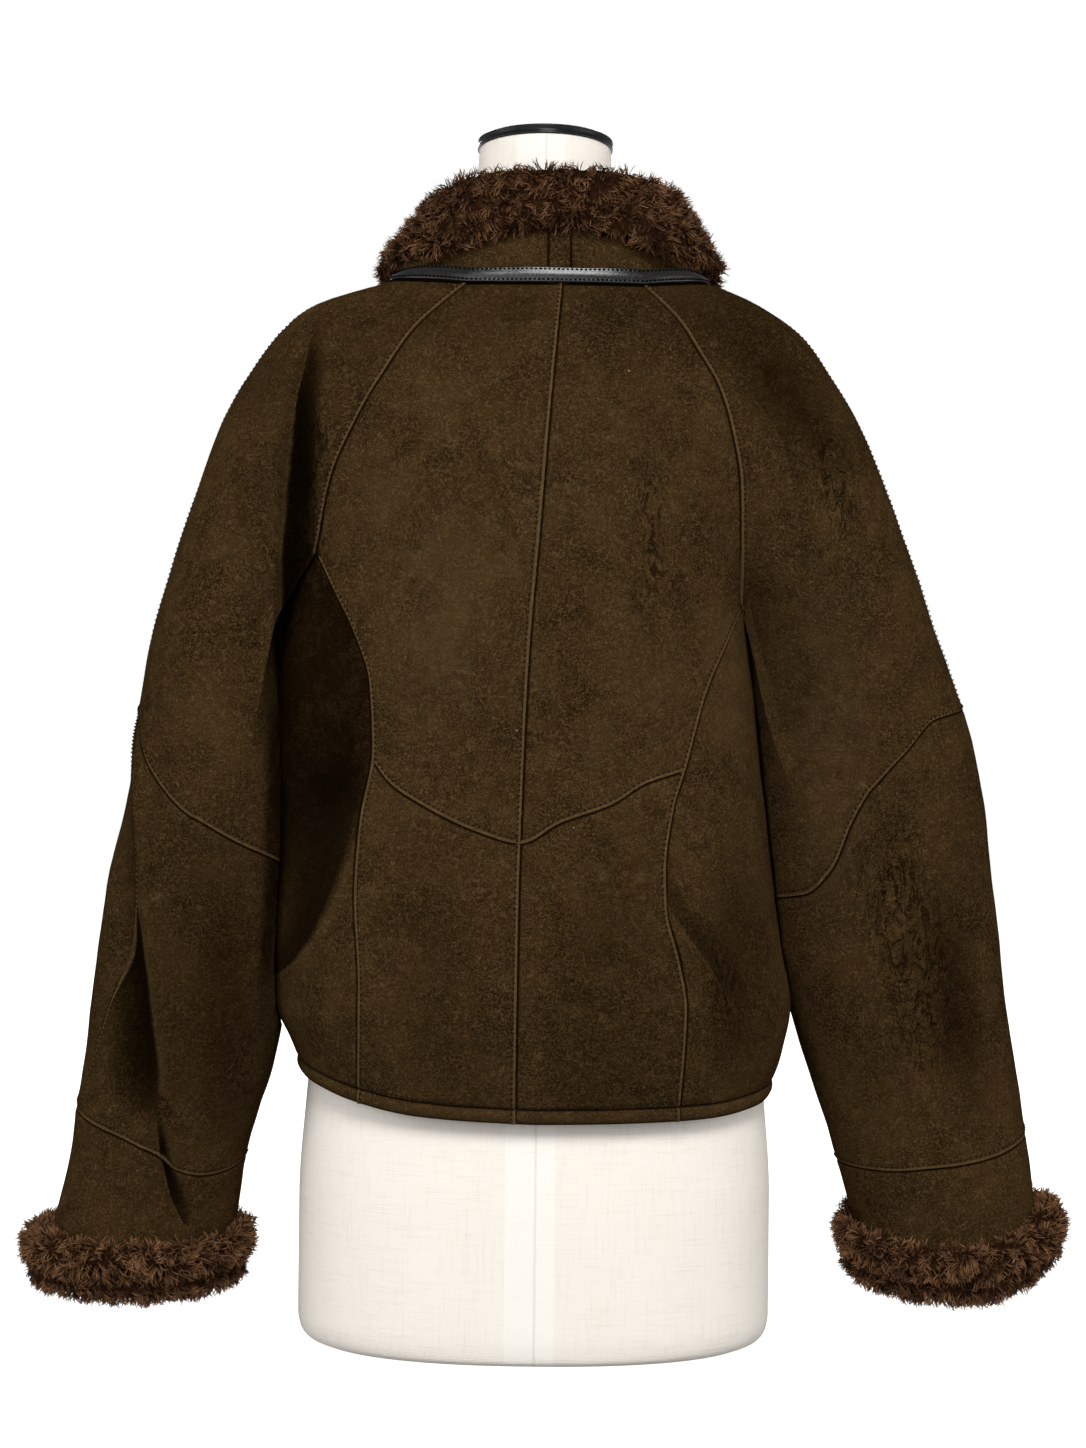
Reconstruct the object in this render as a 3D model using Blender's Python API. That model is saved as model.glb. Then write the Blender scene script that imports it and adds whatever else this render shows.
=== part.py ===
"""A suede shearling jacket worn by a limbless dress form.

The frame: +Z up, the origin at the middle of the form's flat base. The back of the garment faces
+Y and the wearer's left is +X. Tables and sizes are in millimetres, and meshes are in metres.

The whole jacket is a stack of level sections. Below the armpits there are three: the body and two
sleeves. Above them the sections run together, and the raglan seams are lines drawn on the surface.
"""

import math

import bmesh
import bpy
import numpy as np

MM = 0.001

# ---------------------------------------------------------------- driving sizes (mm)
WALL = 4.0  # sueded skin with its clipped wool
SEAM_GAP = 0.3  # between two pieces at a seam
SHOULDER_BLEND = 26.0  # how far the body's and a sleeve's sections soften into each other
BODY_CLEAR = 2.2  # between a hanging sleeve and the body's side
CLEAR_OVER = 0.035  # share of the sleeve over which that clearance opens below the armpit
FOLD_OVER = 0.34  # share of the sleeve over which the armhole's shape fades into its tube
EVEN_OVER = 0.45  # share of the sleeve over which its columns spread evenly round it
NECK_FROM = 0.45  # how far up the shoulder its columns start to turn round the neck
NECK_EASE = 0.6  # and how late in that turn they drop behind and in front
ARMHOLE_DROP = 34.0  # of the underarm below the raglan seams' ends
NECK_BACK = 802.0  # height of the collar seam behind
NECK_SIDE = 809.0  # on the shoulder
NECK_FRONT = 752.0  # and at the centre front
RAGLAN_FRONT = 775.0  # where the front raglan seams meet the collar seam
CUFF_END = 50.0  # height of the cuff band's lower edge behind, inside the fur
LAP_PAST = 22.0  # each front runs this far past the centre front
LAP_RISE = 5.0  # how far the over front stands off the under front
LAP_FROM, LAP_WIDTH = -66.0, 34.0  # where it climbs, and over what width
STRAP_HIGH, STRAP_THICK, STRAP_OFF = 11.0, 2.2, 0.5
BUTTON_RADIUS, BUTTON_THICK, BUTTON_DISH, BUTTON_RIM, BUTTON_OFF = 11.5, 4.2, 1.2, 3.0, 0.4
BUTTON_ROWS = (1, 4, 7, 10, 13)  # of the front's grid

# How finely each piece is faceted: rows and columns of its grid, and sides of what is turned.
RAGLAN_SHARES = (0, 0.06, 0.16, 0.32, 0.54, 0.77, 1)  # rows close up over the curve of the shoulder
RAGLAN_ROWS, SIDE_UPPER_ROWS, SIDE_LOWER_ROWS = len(RAGLAN_SHARES) - 1, 4, 5
BACK_COLUMNS, FRONT_COLUMNS, ARMHOLE_COLUMNS = 6, 5, 4
SLEEVE_COLUMNS, SLEEVE_ROWS, FOREARM_ROWS = 7, 6, 6
FORM_SIDES, BUTTON_SIDES = 30, 14


# ---------------------------------------------------------------- tables
class Table:
    """Rows of sizes with named columns, read at any place by a smooth curve through the rows."""

    def __init__(self, columns, *rows):
        values = np.array(sorted(rows), float)
        self.at = values[:, 0]
        self.columns = dict(zip(columns.split()[1:], values[:, 1:].T))

    def read(self, column, at):
        """A monotone cubic through the column's values, held level past its ends."""
        x, y = self.at, self.columns[column]
        at = np.clip(np.asarray(at, float), x[0], x[-1])
        step = np.diff(x)
        slope = np.diff(y) / step
        turn = np.concatenate([[slope[0]], np.zeros(len(x) - 2), [slope[-1]]])
        same = slope[:-1] * slope[1:] > 0
        both = np.where(same, slope[:-1] + slope[1:], 1.0)
        turn[1:-1] = np.where(same, 2 * slope[:-1] * slope[1:] / both, 0.0)
        i = np.clip(np.searchsorted(x, at, side="right") - 1, 0, len(step) - 1)
        t = (at - x[i]) / step[i]
        rise = (3 - 2 * t) * t * t
        ease_out = t * (1 - t) ** 2 * turn[i] * step[i]
        ease_in = t * t * (t - 1) * turn[i + 1] * step[i]
        return y[i] + (y[i + 1] - y[i]) * rise + ease_out + ease_in


# The body's sections: half widths to the wearer's left and right, depths behind and in front.
BODY = Table(
    "height left right back front power",
    (175, 180, 181, 140, 138, 2.4),
    (190, 180.5, 181, 143, 140, 2.4),
    (200, 181, 182.5, 146, 142, 2.4),
    (214, 183, 187.5, 150, 146, 2.4),
    (228, 188, 191, 152, 148, 2.4),
    (256, 200, 196, 156, 152, 2.4),
    (300, 202, 188, 154, 152, 2.5),
    (378, 201, 178, 147, 147, 2.5),
    (459, 200, 168, 137, 141, 2.6),
    (560, 196, 159, 129, 132, 2.6),
    (600, 190, 160, 126, 126, 2.6),
    (650, 183, 165, 119, 118, 2.6),
    (700, 172, 165, 109, 108, 2.6),
    (740, 160, 158, 97, 95, 2.6),
    (770, 146, 150, 86, 80, 2.6),
    (790, 128, 132, 75, 64, 2.5),
    (803, 108, 114, 66, 50, 2.4),
    (811, 92, 98, 58, 40, 2.3),
)

# The sleeves' sections: from the inner edge to the outer one, the middle's place front to back,
# depths behind and in front of it, and how far the outer edge leans back of the inner.
ARM_COLUMNS = "height inner outer middle back front lean"
ARM_POWER = 2.25
LEFT_ARM = Table(
    ARM_COLUMNS,
    (50, 238, 377, -20, 61, 61, 0),
    (87, 231, 371, -18, 62, 62, 0),
    (136, 223, 361, -14, 65, 64, -8),
    (170, 214, 357, -12, 67, 65, -16),
    (209, 201, 351, -8, 69, 66, -22),
    (265, 192, 345, -3, 73, 68, -24),
    (340, 188, 334, 3, 78, 72, -20),
    (400, 187, 324, 7, 82, 75, -14),
    (478, 187, 307, 11, 86, 78, -6),
    (540, 182, 296, 11, 87, 88, 0),
    (598, 152, 280, 9, 86, 93, 0),
    (650, 134, 263, 5, 86, 90, 0),
    (700, 104, 246, 2, 83, 82, 0),
    (740, 62, 224, 0, 78, 73, 0),
    (770, 26, 203, 0, 70, 62, 0),
    (790, 6, 179, 0, 60, 48, 0),
    (803, 0, 143, 0, 52, 38, 0),
    (811, 0, 109, 0, 46, 30, 0),
)
RIGHT_ARM = Table(
    ARM_COLUMNS,
    (50, 259, 396, -30, 61, 60, 0),
    (97, 247, 391, -30, 62, 61, 0),
    (128, 238, 387, -30, 62, 61, 0),
    (159, 229, 382, -30, 62, 61, 0),
    (186, 219, 379, -30, 61, 60, 0),
    (220, 208, 373, -31, 60, 60, 0),
    (259, 196, 367, -33, 60, 60, 0),
    (297, 182, 363, -34, 60, 60, 0),
    (359, 170, 354, -30, 61, 60, 0),
    (415, 166, 347, -24, 63, 61, 0),
    (459, 163, 337, -19, 66, 64, 0),
    (503, 160, 322, -13, 70, 68, 0),
    (560, 149, 300, -4, 76, 72, 0),
    (600, 128, 285, 0, 80, 77, 0),
    (650, 108, 267, 0, 83, 80, 0),
    (700, 88, 245, 0, 81, 78, 0),
    (740, 52, 222, 0, 76, 70, 0),
    (770, 22, 201, 0, 68, 60, 0),
    (790, 4, 174, 0, 60, 48, 0),
    (803, 0, 148, 0, 52, 38, 0),
    (811, 0, 118, 0, 46, 30, 0),
)

# Seams drawn on the surface: the distance out from the middle.
CENTRE_BACK = Table(
    "height out", (175, 14.5), (341, 13.4), (430, 11.3), (518, 7.9), (613, 0.7), (709, -6.3), (803, -14)
)
LEFT_BACK_RAGLAN = Table("height out", (598, 168), (652, 158), (703, 136), (732, 119), (765, 97), (802, 58.6))
LEFT_FRONT_RAGLAN = Table("height out", (598, 168), (652, 158), (703, 137), (740, 112), (775, 72))
RIGHT_BACK_RAGLAN = Table(
    "height out", (560, 152), (652, 149), (696, 141), (724, 132), (750, 117), (774, 102), (802, 76)
)
RIGHT_FRONT_RAGLAN = Table("height out", (560, 152), (652, 149), (696, 141), (740, 118), (775, 84))
LEFT_BACK_SIDE = Table(
    "height out", (206, 131), (280, 130), (345, 134), (400, 130), (450, 122), (501, 125), (535, 136),
    (567, 152), (598, 168),
)
LEFT_FRONT_SIDE = Table("height out", (195, 134), (400, 132), (500, 138), (567, 154), (598, 168))
RIGHT_BACK_SIDE = Table(
    "height out", (190, 106), (264, 110), (300, 104), (335, 95), (370, 94), (409, 99), (439, 108),
    (494, 123), (538, 142), (560, 152),
)
RIGHT_FRONT_SIDE = Table("height out", (190, 116), (300, 112), (400, 116), (500, 134), (560, 152))

# The yoke seam's height across the back, from side seam to side seam by way of the centre back.
YOKE = Table(
    "across height", (-108, 438), (-78, 428), (-54, 413), (-16, 399), (12.3, 384), (46, 393), (88, 413),
    (109, 427), (122, 444),
)
# The hem's height round the body, by degrees from the centre back.
LEFT_HEM = Table("round height", (0, 179), (25, 183), (45, 191), (65, 200), (90, 206), (130, 200), (180, 190))
RIGHT_HEM = Table("round height", (0, 179), (40, 181), (65, 186), (90, 191), (130, 190), (180, 190))

# Seams round a sleeve: degrees from its outer line, past the back or front to its inner line.
LEFT_ELBOW = Table("turn height", (0, 481), (20, 474), (55, 433), (90, 397), (120, 378), (180, 356))
RIGHT_ELBOW = Table(
    "turn height", (0, 488), (40, 478), (61, 452), (75, 431), (92, 398), (110, 360), (128, 342), (180, 336)
)
LEFT_CUFF_SEAM = Table(
    "turn height", (0, 174), (43, 163), (70, 155), (90, 144), (104, 131), (125, 126), (180, 136)
)
RIGHT_CUFF_SEAM = Table("turn height", (0, 159), (30, 152), (60, 143), (90, 136), (120, 132), (180, 134))
# The seam down the forearm's outer side, by how far down from the armpit to the cuff.
LEFT_FOREARM = Table("down turn", (0.22, 0), (0.325, 40), (0.487, 60), (0.77, 26), (1, 8))
RIGHT_FOREARM = Table("down turn", (0.15, 0), (0.26, -14), (1, -14))
# How far the cuff's end rises round the sleeve, which hangs a little forward.
LEFT_CUFF_TILT = Table("turn rise", (-180, 5), (-90, 9), (0, 5), (90, -3), (180, 5))
RIGHT_CUFF_TILT = Table("turn rise", (-180, 11), (-90, 30), (0, 29), (90, 0), (180, 11))
CUFF_FUR_FULL = Table("turn full", (-180, 0.7), (-90, 0.95), (0, 1.06), (90, 0.95), (180, 0.7))

# The largest folds: troughs (depth under 0) and ridges, by height, each with its half width.
FOLD_COLUMNS = "height across half depth"
BODY_BACK_FOLDS = (
    # the hollow under the left arm, over the fullness at the hem
    Table(
        FOLD_COLUMNS, (560, 168, 34, 0), (500, 166, 38, -8), (440, 168, 40, -13), (390, 176, 40, -13),
        (330, 188, 36, 0),
    ),
    # a swag from the right side-back seam down to the hem
    Table(FOLD_COLUMNS, (345, -88, 16, 0), (322, -103, 18, 5), (290, -123, 20, 6), (240, -150, 20, 0)),
)
BODY_FRONT_FOLDS = (
    Table(FOLD_COLUMNS, (550, 160, 32, 0), (470, 158, 38, -9), (400, 166, 38, -9), (330, 180, 34, 0)),
    Table(FOLD_COLUMNS, (540, -138, 26, 0), (450, -140, 32, -6), (350, -146, 30, 0)),
)
ARM_BACK_FOLDS = (
    # the valley between the left sleeve and its armhole
    Table(FOLD_COLUMNS, (762, 170, 16, 0), (712, 179, 19, -8), (650, 185, 20, -12), (603, 189, 18, 0)),
    # the left sleeve's long fold, behind its outer side
    Table(
        FOLD_COLUMNS, (510, 290, 22, 0), (440, 301, 24, 5), (347, 299, 26, 8), (284, 290, 26, 8),
        (180, 281, 24, 0),
    ),
    # a pinch beside it, through the cuff band
    Table(FOLD_COLUMNS, (170, 287, 14, 0), (140, 283, 18, -6), (108, 274, 18, -7), (84, 265, 16, 0)),
    # the soft dip over the right upper arm
    Table(FOLD_COLUMNS, (775, -172, 16, 0), (736, -194, 20, -7), (690, -208, 22, -5), (630, -216, 20, 0)),
)
ARM_FRONT_FOLDS = (
    Table(FOLD_COLUMNS, (752, 166, 16, 0), (705, 176, 20, -8), (650, 184, 20, -9), (603, 189, 18, 0)),
    Table(FOLD_COLUMNS, (742, -160, 16, 0), (690, -172, 20, -7), (630, -178, 20, -7), (570, -180, 18, 0)),
    Table(FOLD_COLUMNS, (470, 262, 24, 0), (380, 250, 26, -7), (300, 252, 24, 0)),
    Table(FOLD_COLUMNS, (420, -262, 24, 0), (340, -270, 26, -7), (250, -286, 24, 0)),
)
FOLD_FROM, FOLD_FULL = 10.0, 40.0  # folds fade out this near to a section's side edges

# The collar: from the seam up to the crest of its roll, by degrees round the neck from the back,
# how far up it the turned-over fur reaches down, how full that fur is, and how far out its lower
# edge stands.
NECK_AXIS = np.array([-10.5, -10.0, 0.0])
COLLAR = Table(
    "round out high fall full skirt",
    (0, 70, 886, 0.52, 1.0, 12),
    (35, 76, 886, 0.42, 1.0, 12),
    (60, 82, 882, 0.24, 1.05, 14),
    (80, 88, 877, 0.17, 1.1, 20),
    (96, 90, 871, 0.03, 1.1, 25),
    (130, 84, 852, 0.05, 1.2, 20),
    (180, 76, 820, 0.06, 1.2, 15),
)
TAB_FROM, TAB_TO = -20.0, -4.0  # the strip at the middle of the stand
STAND_LEVELS = (0.0, 0.33, 0.66, 0.94)

# The dress form, from its flat base to the top of its neck.
FORM = Table(
    "height half back front middle power",
    (0, 166, 123, 123, 0, 2.3),
    (3, 174, 126.5, 126.5, 0, 2.3),
    (9, 179, 128, 128, 0, 2.3),
    (20, 181, 129, 129, 0, 2.3),
    (110, 181, 128, 128, 0, 2.3),
    (180, 176.5, 125, 125, 0, 2.3),
    (215, 173, 123, 123, 0, 2.3),
    (330, 145, 104, 105, 0, 2.3),
    (400, 132, 96, 98, 0, 2.3),
    (480, 141, 102, 110, 0, 2.3),
    (560, 153, 107, 118, 0, 2.3),
    (640, 158, 100, 102, 0, 2.3),
    (700, 160, 88, 84, 0, 2.4),
    (750, 160, 71, 67, 0, 2.4),
    (779, 155.5, 59, 51.3, 0, 2.4),
    (793.5, 143, 51, 44, -2, 2.3),
    (800.5, 128, 47, 40, -3, 2.2),
    (805, 107.5, 45, 39.5, -5, 2.1),
    (811, 81, 45.5, 44.5, -9, 2.0),
    (826, 64, 49, 51, -12, 2.0),
    (845, 54, 51, 52, -12, 2.0),
    (915.5, 51, 51, 51, -12, 2.0),
)
NECK_MIDDLE = -12.0
CAP_HIGH, CAP_OVER, CAP_TILT = 7.5, 1.6, math.radians(5)


# The fur roll's section: how far up the collar, or a place on the fall, and how far out from the
# suede's face, in millimetres or as a reach that varies round the neck. It is open below.
FUR_ROUND, FUR_TOP = 13.0, 8.0  # how far out the roll's middle and its top stand
FUR_TUCK = 0.6  # share of the lower edge's reach that its underside has
FUR_PARTING = 3.0  # between its two ends at the centre front
FUR_SECTION = (
    (0.14, -5), (0.14, -14), (0.6, -16), (0.98, -12), (1.10, -2), (1.03, "top"), ("middle", "round"),
    ("fall", "skirt"), ("under", "tuck"), ("back", 1.0), ("middle", 1.0), (0.97, 1.0), (0.97, -5), (0.55, -5),
)
# The fur round a cuff's end: how far out from the band's surface, and over the band's end.
CUFF_FUR_SECTION = (
    (1.0, -0.6), (1.0, 24), (9, 29), (19, 25), (23, 12), (21, -6), (12, -18), (-4, -20), (-14, -10), (-14, 8),
    (-5, -0.6),
)

# ---------------------------------------------------------------- the surface
def smooth(share):
    share = np.clip(share, 0.0, 1.0)
    return share * share * (3 - 2 * share)


def signed_power(value, power):
    return np.sign(value) * np.abs(value) ** power


def smooth_max(a, b, reach):
    near = np.maximum(reach - np.abs(a - b), 0.0) / reach
    return np.maximum(a, b) + near * near * reach / 4


def fold_rise(tables, x, z):
    """How far these folds raise the surface at this place."""
    rise = 0.0 * x
    for table in tables:
        near = smooth(1 - np.abs(x - table.read("across", z)) / table.read("half", z))
        rise = rise + near * table.read("depth", z)
    return rise


def folded(point, middle, face, back_folds, front_folds):
    """The point with its folds, which fade out towards the middle line between back and front."""
    x, y, z = point[..., 0], point[..., 1], point[..., 2]
    rise = np.where(face > 0, fold_rise(back_folds, x, z), fold_rise(front_folds, x, z))
    weight = smooth((np.abs(y - middle) - FOLD_FROM) / (FOLD_FULL - FOLD_FROM))
    return np.stack([x, y + face * rise * weight, z], axis=-1)


def body_fold(point, face):
    return folded(point, 0.0, face, BODY_BACK_FOLDS, BODY_FRONT_FOLDS)


def arch(offset, half, depth, power):
    """The height of a rounded section over its middle line, negative past its edges."""
    return depth * signed_power(1 - np.abs(offset / half) ** power, 1 / power)


def body_rise(x, z, face):
    half = np.where(x >= 0, BODY.read("left", z), BODY.read("right", z))
    depth = np.where(face > 0, BODY.read("back", z), BODY.read("front", z))
    return arch(x, half, depth, BODY.read("power", z))


def arm_rise(x, z, face):
    """How far a sleeve's section reaches behind (face 1) or in front (-1) at this place."""
    row = {}
    for column in ("inner", "outer", "middle", "back", "front"):
        row[column] = np.where(x >= 0, LEFT_ARM.read(column, z), RIGHT_ARM.read(column, z))
    centre = (row["inner"] + row["outer"]) / 2
    half = (row["outer"] - row["inner"]) / 2
    depth = np.where(face > 0, row["back"], row["front"])
    return face * row["middle"] + arch(np.abs(x) - centre, half, depth, ARM_POWER)


def torso_y(x, z, face):
    """The jacket's surface behind (face 1) or in front (-1), where body and sleeves run together."""
    return face * smooth_max(body_rise(x, z, face), arm_rise(x, z, face), SHOULDER_BLEND)


def torso_point(x, z, face):
    x, z = np.broadcast_arrays(np.asarray(x, float), np.asarray(z, float))
    return body_fold(np.stack([x, torso_y(x, z, face), z], axis=-1), face)


def round_of(out, z, hand, back):
    """The angle round the body's section, from the centre back, at this distance out."""
    share = np.clip(np.abs(out) / BODY.read("left" if hand > 0 else "right", z), 0, 1)
    angle = np.arcsin(share ** (BODY.read("power", z) / 2))
    return angle if back else math.pi - angle


def side_point(angle, z, hand):
    angle, z = np.broadcast_arrays(np.asarray(angle, float), np.asarray(z, float))
    power = BODY.read("power", z)
    half = BODY.read("left" if hand > 0 else "right", z)
    depth = np.where(np.cos(angle) >= 0, BODY.read("back", z), BODY.read("front", z))
    x = hand * half * signed_power(np.sin(angle), 2 / power)
    y = depth * signed_power(np.cos(angle), 2 / power)
    return body_fold(np.stack([x, y, z], axis=-1), np.where(y >= 0, 1.0, -1.0))


def hem_height(angle, hand):
    return (LEFT_HEM if hand > 0 else RIGHT_HEM).read("height", np.degrees(angle))


class Arm:
    """One sleeve: its tables and the surface from the collar seam to the cuff."""

    def __init__(self, hand):
        left = hand > 0
        self.hand = hand
        self.side = "left" if left else "right"
        self.sections = LEFT_ARM if left else RIGHT_ARM
        self.back_raglan = LEFT_BACK_RAGLAN if left else RIGHT_BACK_RAGLAN
        self.front_raglan = LEFT_FRONT_RAGLAN if left else RIGHT_FRONT_RAGLAN
        self.back_side = LEFT_BACK_SIDE if left else RIGHT_BACK_SIDE
        self.front_side = LEFT_FRONT_SIDE if left else RIGHT_FRONT_SIDE
        self.elbow = LEFT_ELBOW if left else RIGHT_ELBOW
        self.cuff_seam = LEFT_CUFF_SEAM if left else RIGHT_CUFF_SEAM
        self.forearm = LEFT_FOREARM if left else RIGHT_FOREARM
        self.cuff_tilt = LEFT_CUFF_TILT if left else RIGHT_CUFF_TILT
        self.split = self.back_raglan.at[0]
        self.yoke_end = YOKE.columns["height"][-1 if left else 0]
        self.hole_share = ARMHOLE_COLUMNS / (ARMHOLE_COLUMNS + SLEEVE_COLUMNS)

    def ring(self, turn, z):
        """A point of the sleeve's level section: turn 0 is its outer line, +90 degrees its back."""
        row = {c: self.sections.read(c, z) for c in ARM_COLUMNS.split()[1:]}
        centre = (row["inner"] + row["outer"]) / 2
        half = (row["outer"] - row["inner"]) / 2
        depth = np.where(np.sin(turn) >= 0, row["back"], row["front"])
        along = signed_power(np.cos(turn), 2 / ARM_POWER)
        y = row["middle"] + depth * signed_power(np.sin(turn), 2 / ARM_POWER) + row["lean"] * along
        return centre + half * along, y

    def raglan_out(self, z, face):
        return np.where(face > 0, self.back_raglan.read("out", z), self.front_raglan.read("out", z))

    def raglan_turn(self, z, face):
        out = self.raglan_out(z, face)
        inner, outer = self.sections.read("inner", z), self.sections.read("outer", z)
        along = np.clip((out - (inner + outer) / 2) / ((outer - inner) / 2), -1, 1)
        return np.arccos(signed_power(along, ARM_POWER / 2))

    def armhole(self, share, face):
        """The seam under the arm, from the raglan seam's end (share 0) to the underarm (share 1)."""
        height = self.split - ARMHOLE_DROP * np.sin(share * math.pi / 2) ** 1.5
        start = round_of(self.back_raglan.read("out", self.split), self.split, self.hand, True)
        angle = start + (math.pi / 2 - start) * share
        return np.where(face > 0, angle, math.pi - angle), height

    def end_height(self, round_share):
        return CUFF_END + self.cuff_tilt.read("rise", 180 * np.clip(round_share, -1, 1))

    def shoulder(self, across, height, face):
        """Above the armpit: across 0 is the overarm line and 1 the raglan seam; height runs -1 to 0."""
        top = np.where(face > 0, NECK_BACK, RAGLAN_FRONT)
        at_raglan = self.split + (top - self.split) * -height
        at_ridge = self.split + (NECK_SIDE - self.split) * -height
        by_neck = smooth((-height - NECK_FROM) / (1 - NECK_FROM))
        z = at_ridge + (at_raglan - at_ridge) * across ** (1 + NECK_EASE * by_neck)
        out, _ = self.ring(face * across * self.raglan_turn(at_raglan, face), z)
        ridge_out = self.sections.read("outer", at_ridge)
        raglan_out = self.raglan_out(at_raglan, face)
        round_neck = ridge_out + (raglan_out - ridge_out) * (1 - np.cos(across * math.pi / 2))
        x = self.hand * (out + (round_neck - out) * by_neck)
        return np.stack([x, torso_y(x, z, face), z], axis=-1)

    def tube(self, round_share, down):
        """Below the armpit: round_share 0 is the overarm line, 1 and -1 the underarm."""
        face = np.where(round_share >= 0, 1.0, -1.0)
        share = np.abs(round_share)
        outer_share = np.clip(share / (1 - self.hole_share), 0, 1)
        hole_share = np.clip((share - 1 + self.hole_share) / self.hole_share, 0, 1)
        raglan_turn = self.raglan_turn(self.split, face)
        top_turn = raglan_turn * outer_share + (math.pi - raglan_turn) * hole_share
        angle, hole_z = self.armhole(hole_share, face)
        z = hole_z + (self.end_height(round_share) - hole_z) * down
        turn = top_turn + (math.pi * share - top_turn) * smooth(down / EVEN_OVER)
        on_hole = (hole_share > 0)[..., None]
        on_raglan = self.shoulder(outer_share, 0.0 * share, face)
        top = np.where(on_hole, side_point(angle, hole_z, self.hand), on_raglan)
        start_out, start_y = self.ring(face * top_turn, hole_z)
        out, y = self.ring(face * turn, z)
        fade = 1 - smooth(down / FOLD_OVER)
        out = out + (self.hand * top[..., 0] - start_out) * fade
        y = y + (top[..., 1] - start_y) * fade
        return self.clear_of_body(out, y, z, down)

    def clear_of_body(self, out, y, z, down):
        """Moves what would press on the body's side out along its section, clear of it."""
        power = BODY.read("power", z)
        half = BODY.read("left" if self.hand > 0 else "right", z)
        depth = np.where(y >= 0, BODY.read("back", z), BODY.read("front", z))
        reach = (np.abs(out / half) ** power + np.abs(y / depth) ** power) ** (1 / power)
        clear = SEAM_GAP + (BODY_CLEAR - SEAM_GAP) * smooth(down / CLEAR_OVER)
        wanted = 1 + clear / half
        push = np.maximum(wanted / reach, 1.0)
        return np.stack([self.hand * out * push, y * push, z], axis=-1)

    def point(self, round_share, down):
        """The sleeve's surface: down runs from -1 at the collar seam, 0 at the armpit, to 1 at the cuff."""
        round_share, down = np.broadcast_arrays(np.asarray(round_share, float), np.asarray(down, float))
        face = np.where(round_share >= 0, 1.0, -1.0)
        across = np.clip(np.abs(round_share) / (1 - self.hole_share), 0, 1)
        above = self.shoulder(across, np.minimum(down, 0.0), face)
        below = self.tube(round_share, np.maximum(down, 0.0))
        point = np.where((down < 0)[..., None], above, below)
        z = point[..., 2]
        along = np.cos(math.pi * round_share)
        tube_middle = self.sections.read("middle", z) + self.sections.read("lean", z) * along
        middle = tube_middle * smooth(down / FOLD_OVER)
        return folded(point, middle, face, ARM_BACK_FOLDS, ARM_FRONT_FOLDS)

    def down_at(self, round_share, z):
        """How far down the sleeve this height is, on the column at round_share."""
        share = np.clip((np.abs(round_share) - 1 + self.hole_share) / self.hole_share, 0, 1)
        _, hole_z = self.armhole(share, 1.0)
        return (hole_z - z) / (hole_z - self.end_height(round_share))

    def seam_down(self, seam, round_share):
        """Where a seam round the sleeve crosses each column."""
        return self.down_at(round_share, seam.read("height", 180 * np.abs(round_share)))

    def axis(self, points):
        """The sleeve's middle line at each point's height, which its outside faces away from."""
        z = points[..., 2]
        middle = (self.sections.read("inner", z) + self.sections.read("outer", z)) / 2
        under = 40 * smooth((z - self.split) / 100)
        return np.stack([self.hand * middle, self.sections.read("middle", z), z - under], axis=-1)


# ---------------------------------------------------------------- grids and walls
def spread(a, b, count):
    """count + 1 points from a to b."""
    return np.linspace(np.asarray(a, float), np.asarray(b, float), count + 1)


def coons(top, bottom, first, last):
    """A grid between four edges, its columns spaced as the top edge's points are."""
    u = (np.abs(top[:, 0] - top[0, 0]) / abs(top[-1, 0] - top[0, 0]))[None, :, None]
    v = np.linspace(0, 1, len(first))[:, None, None]
    ruled = (1 - v) * top[None] + v * bottom[None] + (1 - u) * first[:, None] + u * last[:, None]
    ends = (1 - v) * ((1 - u) * top[0] + u * top[-1]) + v * ((1 - u) * bottom[0] + u * bottom[-1])
    return ruled - ends


def normals_of(surface, u, v, step_u, step_v, middle):
    """Unit normals of a surface, pointing away from the middle line given for each point."""
    along = surface(u + step_u, v) - surface(u - step_u, v)
    down = surface(u, v + step_v) - surface(u, v - step_v)
    normal = np.cross(along, down)
    normal /= np.maximum(np.linalg.norm(normal, axis=-1, keepdims=True), 1e-9)
    return normal if np.sum(normal * (surface(u, v) - middle)) > 0 else -normal


def quads_of(rows, columns, around=False):
    """The quads of a grid of points, as corner indexes; around joins its last column to its first."""
    quads = []
    for r in range(rows - 1):
        for c in range(columns if around else columns - 1):
            n = (c + 1) % columns
            quads.append([r * columns + c, r * columns + n, (r + 1) * columns + n, (r + 1) * columns + c])
    return np.array(quads)


def rim_of(quads):
    """The edges that only one quad has, each with that quad."""
    found = {}
    for quad in quads:
        for a, b in zip(quad, np.roll(quad, -1)):
            key = (min(a, b), max(a, b))
            found[key] = None if key in found else quad
    return [(a, b, quad) for (a, b), quad in found.items() if quad is not None]


def drawn_in(points, normals, rim):
    """The points, with those of the rim moved in from the seam by half its gap, square to it."""
    inward = {}
    for a, b, quad in rim:
        square = np.cross(points[b] - points[a], normals[a] + normals[b])
        square /= max(np.linalg.norm(square), 1e-9)
        if np.dot(square, points[quad].mean(axis=0) - points[a]) < 0:
            square = -square
        inward.setdefault(a, []).append(square)
        inward.setdefault(b, []).append(square)
    moved = points.copy()
    for place, squares in inward.items():
        mean = np.mean(squares, axis=0)
        mitre = min(1 / max(np.linalg.norm(mean), 0.3) ** 2, 3.0)
        moved[place] += SEAM_GAP / 2 * mitre * mean
    return moved


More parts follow.
